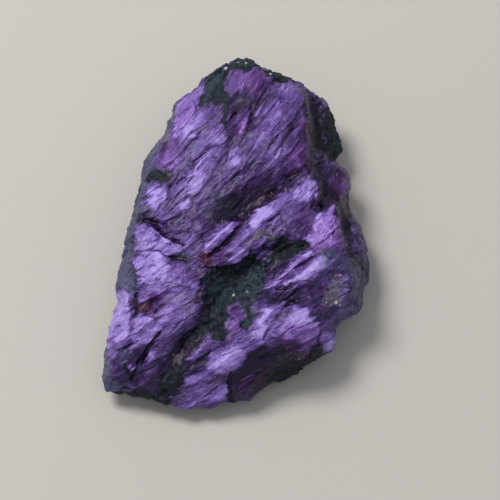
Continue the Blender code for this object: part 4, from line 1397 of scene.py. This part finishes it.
@dataclass(frozen=True)
class PurpuriteStone:
    """The one piece: the whole stone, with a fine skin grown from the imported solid.

    Attributes:
        voxel: The size of the even faces that the skin starts from.
        facing: How squarely a face has to look at the eye to be seen at all, and fully.
        fleck_cover: The share of crystal in a fleck.
        fleck_edge: Where a fleck's edge starts and ends, against its radius.
        sharp_angle: The angle from which an edge is shaded as sharp.
    """

    view: PhotoView
    grain: Grain
    skin: Skin = Skin()
    finish: PurpuriteFinish = PurpuriteFinish()
    voxel: float = 0.115 * MM
    rounding_steps: int = 5
    rounding_share: float = 0.5
    facing: tuple[float, float] = (-0.15, 0.12)
    fleck_cover: float = 0.7
    fleck_edge: tuple[float, float] = (1.3, 0.3)
    triangles: int = 190_000
    sharp_angle: float = math.radians(50)
    relief_steps: int = 10
    relief_height: float = 0.06 * MM

    def blank(self, node: bpy.types.Object) -> bpy.types.Object:
        """Makes the solid's own shape in small even faces, with its plain facets softened.

        Args:
            node: The solid.

        Returns:
            The shape.
        """
        obj = bpy.data.objects.new("broken_purpurite", node.data.copy())
        bpy.context.scene.collection.objects.link(obj)
        modify(obj, "REMESH", mode="VOXEL", voxel_size=self.voxel)
        modify(obj, "SMOOTH", factor=self.rounding_share, iterations=self.rounding_steps)
        return obj

    def seen(self, normals: np.ndarray) -> np.ndarray:
        """How much each point faces the photograph, from 0 to 1."""
        return ramp(normals @ self.view.towards_eye, *self.facing)

    def survey(self, mesh: bpy.types.Mesh) -> Bare:
        """Measures the bare stone.

        Args:
            mesh: Its mesh.

        Returns:
            Its points and how they are seen.
        """
        points = gathered(mesh.vertices, "co")
        normals = gathered(mesh.vertex_normals, "vector")
        pull = Fray(self.view, self.grain).pull(points)
        return Bare(points, normals, self.view.pixels_of(points), pull, self.seen(normals))

    def tones(self, bare: Bare) -> dict[Tone, np.ndarray]:
        """The share of every tone at each point.

        Args:
            bare: The points of the bare stone.

        Returns:
            The shares, under their tone.
        """
        shares = {tone: np.zeros(len(bare.points)) for tone in Tone}
        for tone, patches in PATCHES.items():
            for patch in patches.values():
                shares[tone] += patch.share(bare.pixels, bare.pull)
        # Cracks add painted shade, and splinter edges painted highlights
        for tone, streaks in STREAKS.items():
            for streak in streaks.values():
                shares[tone] += streak.strength * streak.share(bare.pixels, bare.pull)
        body = bare.points / MM
        bands, lumps = BANDS.at(body), LUMPS.at(body)
        return {tone: mix(HIDDEN[tone].share(bands, lumps), share, bare.seen)
                for tone, share in shares.items()}

    def heights(self, bare: Bare, shares: Mapping[Tone, np.ndarray]) -> np.ndarray:
        """How far the skin stands out of the softened solid.

        Args:
            bare: The points of the bare stone.
            shares: The share of every tone at them.

        Returns:
            One height for each point, in metres.
        """
        skin = self.skin
        places = self.grain.lengths(bare.points)
        body = bare.points / MM
        upward = bare.normals[:, 2]
        crust = np.clip(shares[Tone.OXIDE] + skin.dust_crust * shares[Tone.DUST], 0, 1)
        broad = mix(skin.wall_share, 1.0, np.abs(upward)) * mix(1.0, skin.crust_share, crust)
        proud = broad * skin.splinter_height * skin.splinters.at(places)
        proud += broad * skin.sliver_height * skin.slivers.at(places)
        proud += ramp(upward, *skin.chipped) * skin.chip_height * skin.chips.at(body)
        proud += skin.crumb_height * skin.crumb.at(body)
        proud += crust * skin.oxide_crumb_height * skin.oxide_crumb.at(body)
        proud += skin.grit_height * skin.grit.at(body)
        for streaks in STREAKS.values():
            for streak in streaks.values():
                drawn = skin.streak_height * streak.height * bare.seen
                proud += drawn * streak.share(bare.pixels, bare.pull)
        return proud * MM * ramp(body[:, 2], 0, skin.calm_level)

    def relief(self, obj: bpy.types.Object) -> np.ndarray:
        """How far each point stands out of its surroundings.

        Args:
            obj: The stone with its skin.

        Returns:
            One number for each point, from -1 in a cleft to 1 on an edge.
        """
        sharp = obj.data.copy()
        points = gathered(obj.data.vertices, "co")
        modify(obj, "SMOOTH", factor=self.rounding_share, iterations=self.relief_steps)
        soft = gathered(obj.data.vertices, "co")
        normals = gathered(obj.data.vertex_normals, "vector")
        obj.data = sharp
        return np.clip(((points - soft) * normals).sum(1) / self.relief_height, -1, 1)

    def crystals(self, points: np.ndarray, seen: np.ndarray) -> np.ndarray:
        """The share of pale crystal.

        Args:
            points: One row for each point, in metres.
            seen: How much each point faces the photograph.

        Returns:
            One share for each point.
        """
        pixels = self.view.pixels_of(points)
        share = np.zeros(len(points))
        start, end = self.fleck_edge
        for column, row, radius in FLECKS.values():
            gap = np.hypot(pixels[:, 0] - column, pixels[:, 1] - row)
            share = np.maximum(share, self.fleck_cover * ramp(gap, start * radius, end * radius))
        return share * seen

    def build(self, node: bpy.types.Object) -> bpy.types.Object:
        """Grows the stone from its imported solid.

        Args:
            node: The solid.

        Returns:
            The stone.
        """
        obj = self.blank(node)
        bare = self.survey(obj.data)
        shares = self.tones(bare)
        points = bare.points + bare.normals * self.heights(bare, shares)[:, None]
        settle(obj.data, points)

        relief = self.relief(obj)
        mesh = obj.data
        carry(mesh, "grain", self.grain.lengths(points))
        carry(mesh, "body", points / MM)
        # relief makes clefts darker and edges lighter in the colour: painted shade and painted highlights
        carry(mesh, "relief", relief)
        # level is the painted light less the painted shade
        carry(mesh, "level", shares.pop(Tone.LIGHT) - shares.pop(Tone.SHADE))
        carry(mesh, "crystal", self.crystals(points, bare.seen))
        for tone, share in shares.items():
            carry(mesh, tone.value, np.clip(share, 0, 1))

        triangles = sum(len(polygon.vertices) - 2 for polygon in mesh.polygons)
        modify(obj, "DECIMATE", ratio=self.triangles / triangles, use_collapse_triangulate=True)
        settle(obj.data, gathered(obj.data.vertices, "co"))
        obj.data.shade_smooth()
        obj.data.set_sharp_from_angle(angle=self.sharp_angle)
        return obj

    def dress(self, obj: bpy.types.Object) -> None:
        """Gives the stone its material, and its place in the frame.

        Args:
            obj: The stone.
        """
        obj.data.materials.clear()
        obj.data.materials.append(self.finish.material())
        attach(obj, "root")
        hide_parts("purpurite_stone")


@dataclass(frozen=True)
class Studio:
    """A plain pale floor under plain soft light. Lengths are in metres."""

    floor_size: float = 6.0
    floor_colour: Colour = (0.60, 0.57, 0.53)
    floor_roughness: float = 0.9
    key_from: tuple[float, float, float] = (-0.20, 0.14, 0.40)
    key_size: float = 0.20
    key_power: float = 1.5
    key_colour: Colour = (1.0, 0.985, 0.96)
    sky_colour: Colour = (0.93, 0.96, 1.0)
    sky_strength: float = 0.42

    def floor(self) -> None:
        """Lays the floor."""
        half = self.floor_size / 2
        mesh = bpy.data.meshes.new("studio_floor")
        corners = [(-half, -half, 0), (half, -half, 0), (half, half, 0), (-half, half, 0)]
        mesh.from_pydata(corners, [], [(0, 1, 2, 3)])
        floor = bpy.data.objects.new("studio_floor", mesh)
        bpy.context.scene.collection.objects.link(floor)
        graph = NodeGraph("studio_floor")
        graph.feed(graph.shader, {"Base Color": paint(self.floor_colour), "Roughness": self.floor_roughness})
        mesh.materials.append(graph.material)

    def key(self) -> None:
        """Sets the one lamp, aimed at the middle of the ground."""
        light = bpy.data.lights.new("key_light", "AREA")
        light.shape = "DISK"
        light.size = self.key_size
        light.energy = self.key_power
        light.color = self.key_colour
        lamp = bpy.data.objects.new("key_light", light)
        bpy.context.scene.collection.objects.link(lamp)
        lamp.location = self.key_from
        lamp.rotation_mode = "QUATERNION"
        lamp.rotation_quaternion = Vector(self.key_from).to_track_quat("Z", "Y")

    def sky(self) -> None:
        """Sets the light from all sides."""
        world = bpy.data.worlds.new("studio_sky")
        world.use_nodes = True
        sky = world.node_tree.nodes["Background"]
        sky.inputs["Color"].default_value = paint(self.sky_colour)
        sky.inputs["Strength"].default_value = self.sky_strength
        bpy.context.scene.world = world
        bpy.context.scene.view_settings.view_transform = "Standard"

    def build(self) -> None:
        """Lays the floor and sets the lights."""
        self.floor()
        self.key()
        self.sky()


def main() -> None:
    """Builds the stone, the studio and the camera."""
    view = PhotoView()
    stone = PurpuriteStone(view, Grain(view))
    piece = stone.build(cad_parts["purpurite_stone"])
    stone.dress(piece)
    log.info("%s: %d faces", piece.name, len(piece.data.polygons))
    Studio().build()
    view.camera()


if __name__ == "__main__":
    logging.basicConfig(level=logging.INFO, format="%(message)s")
    main()
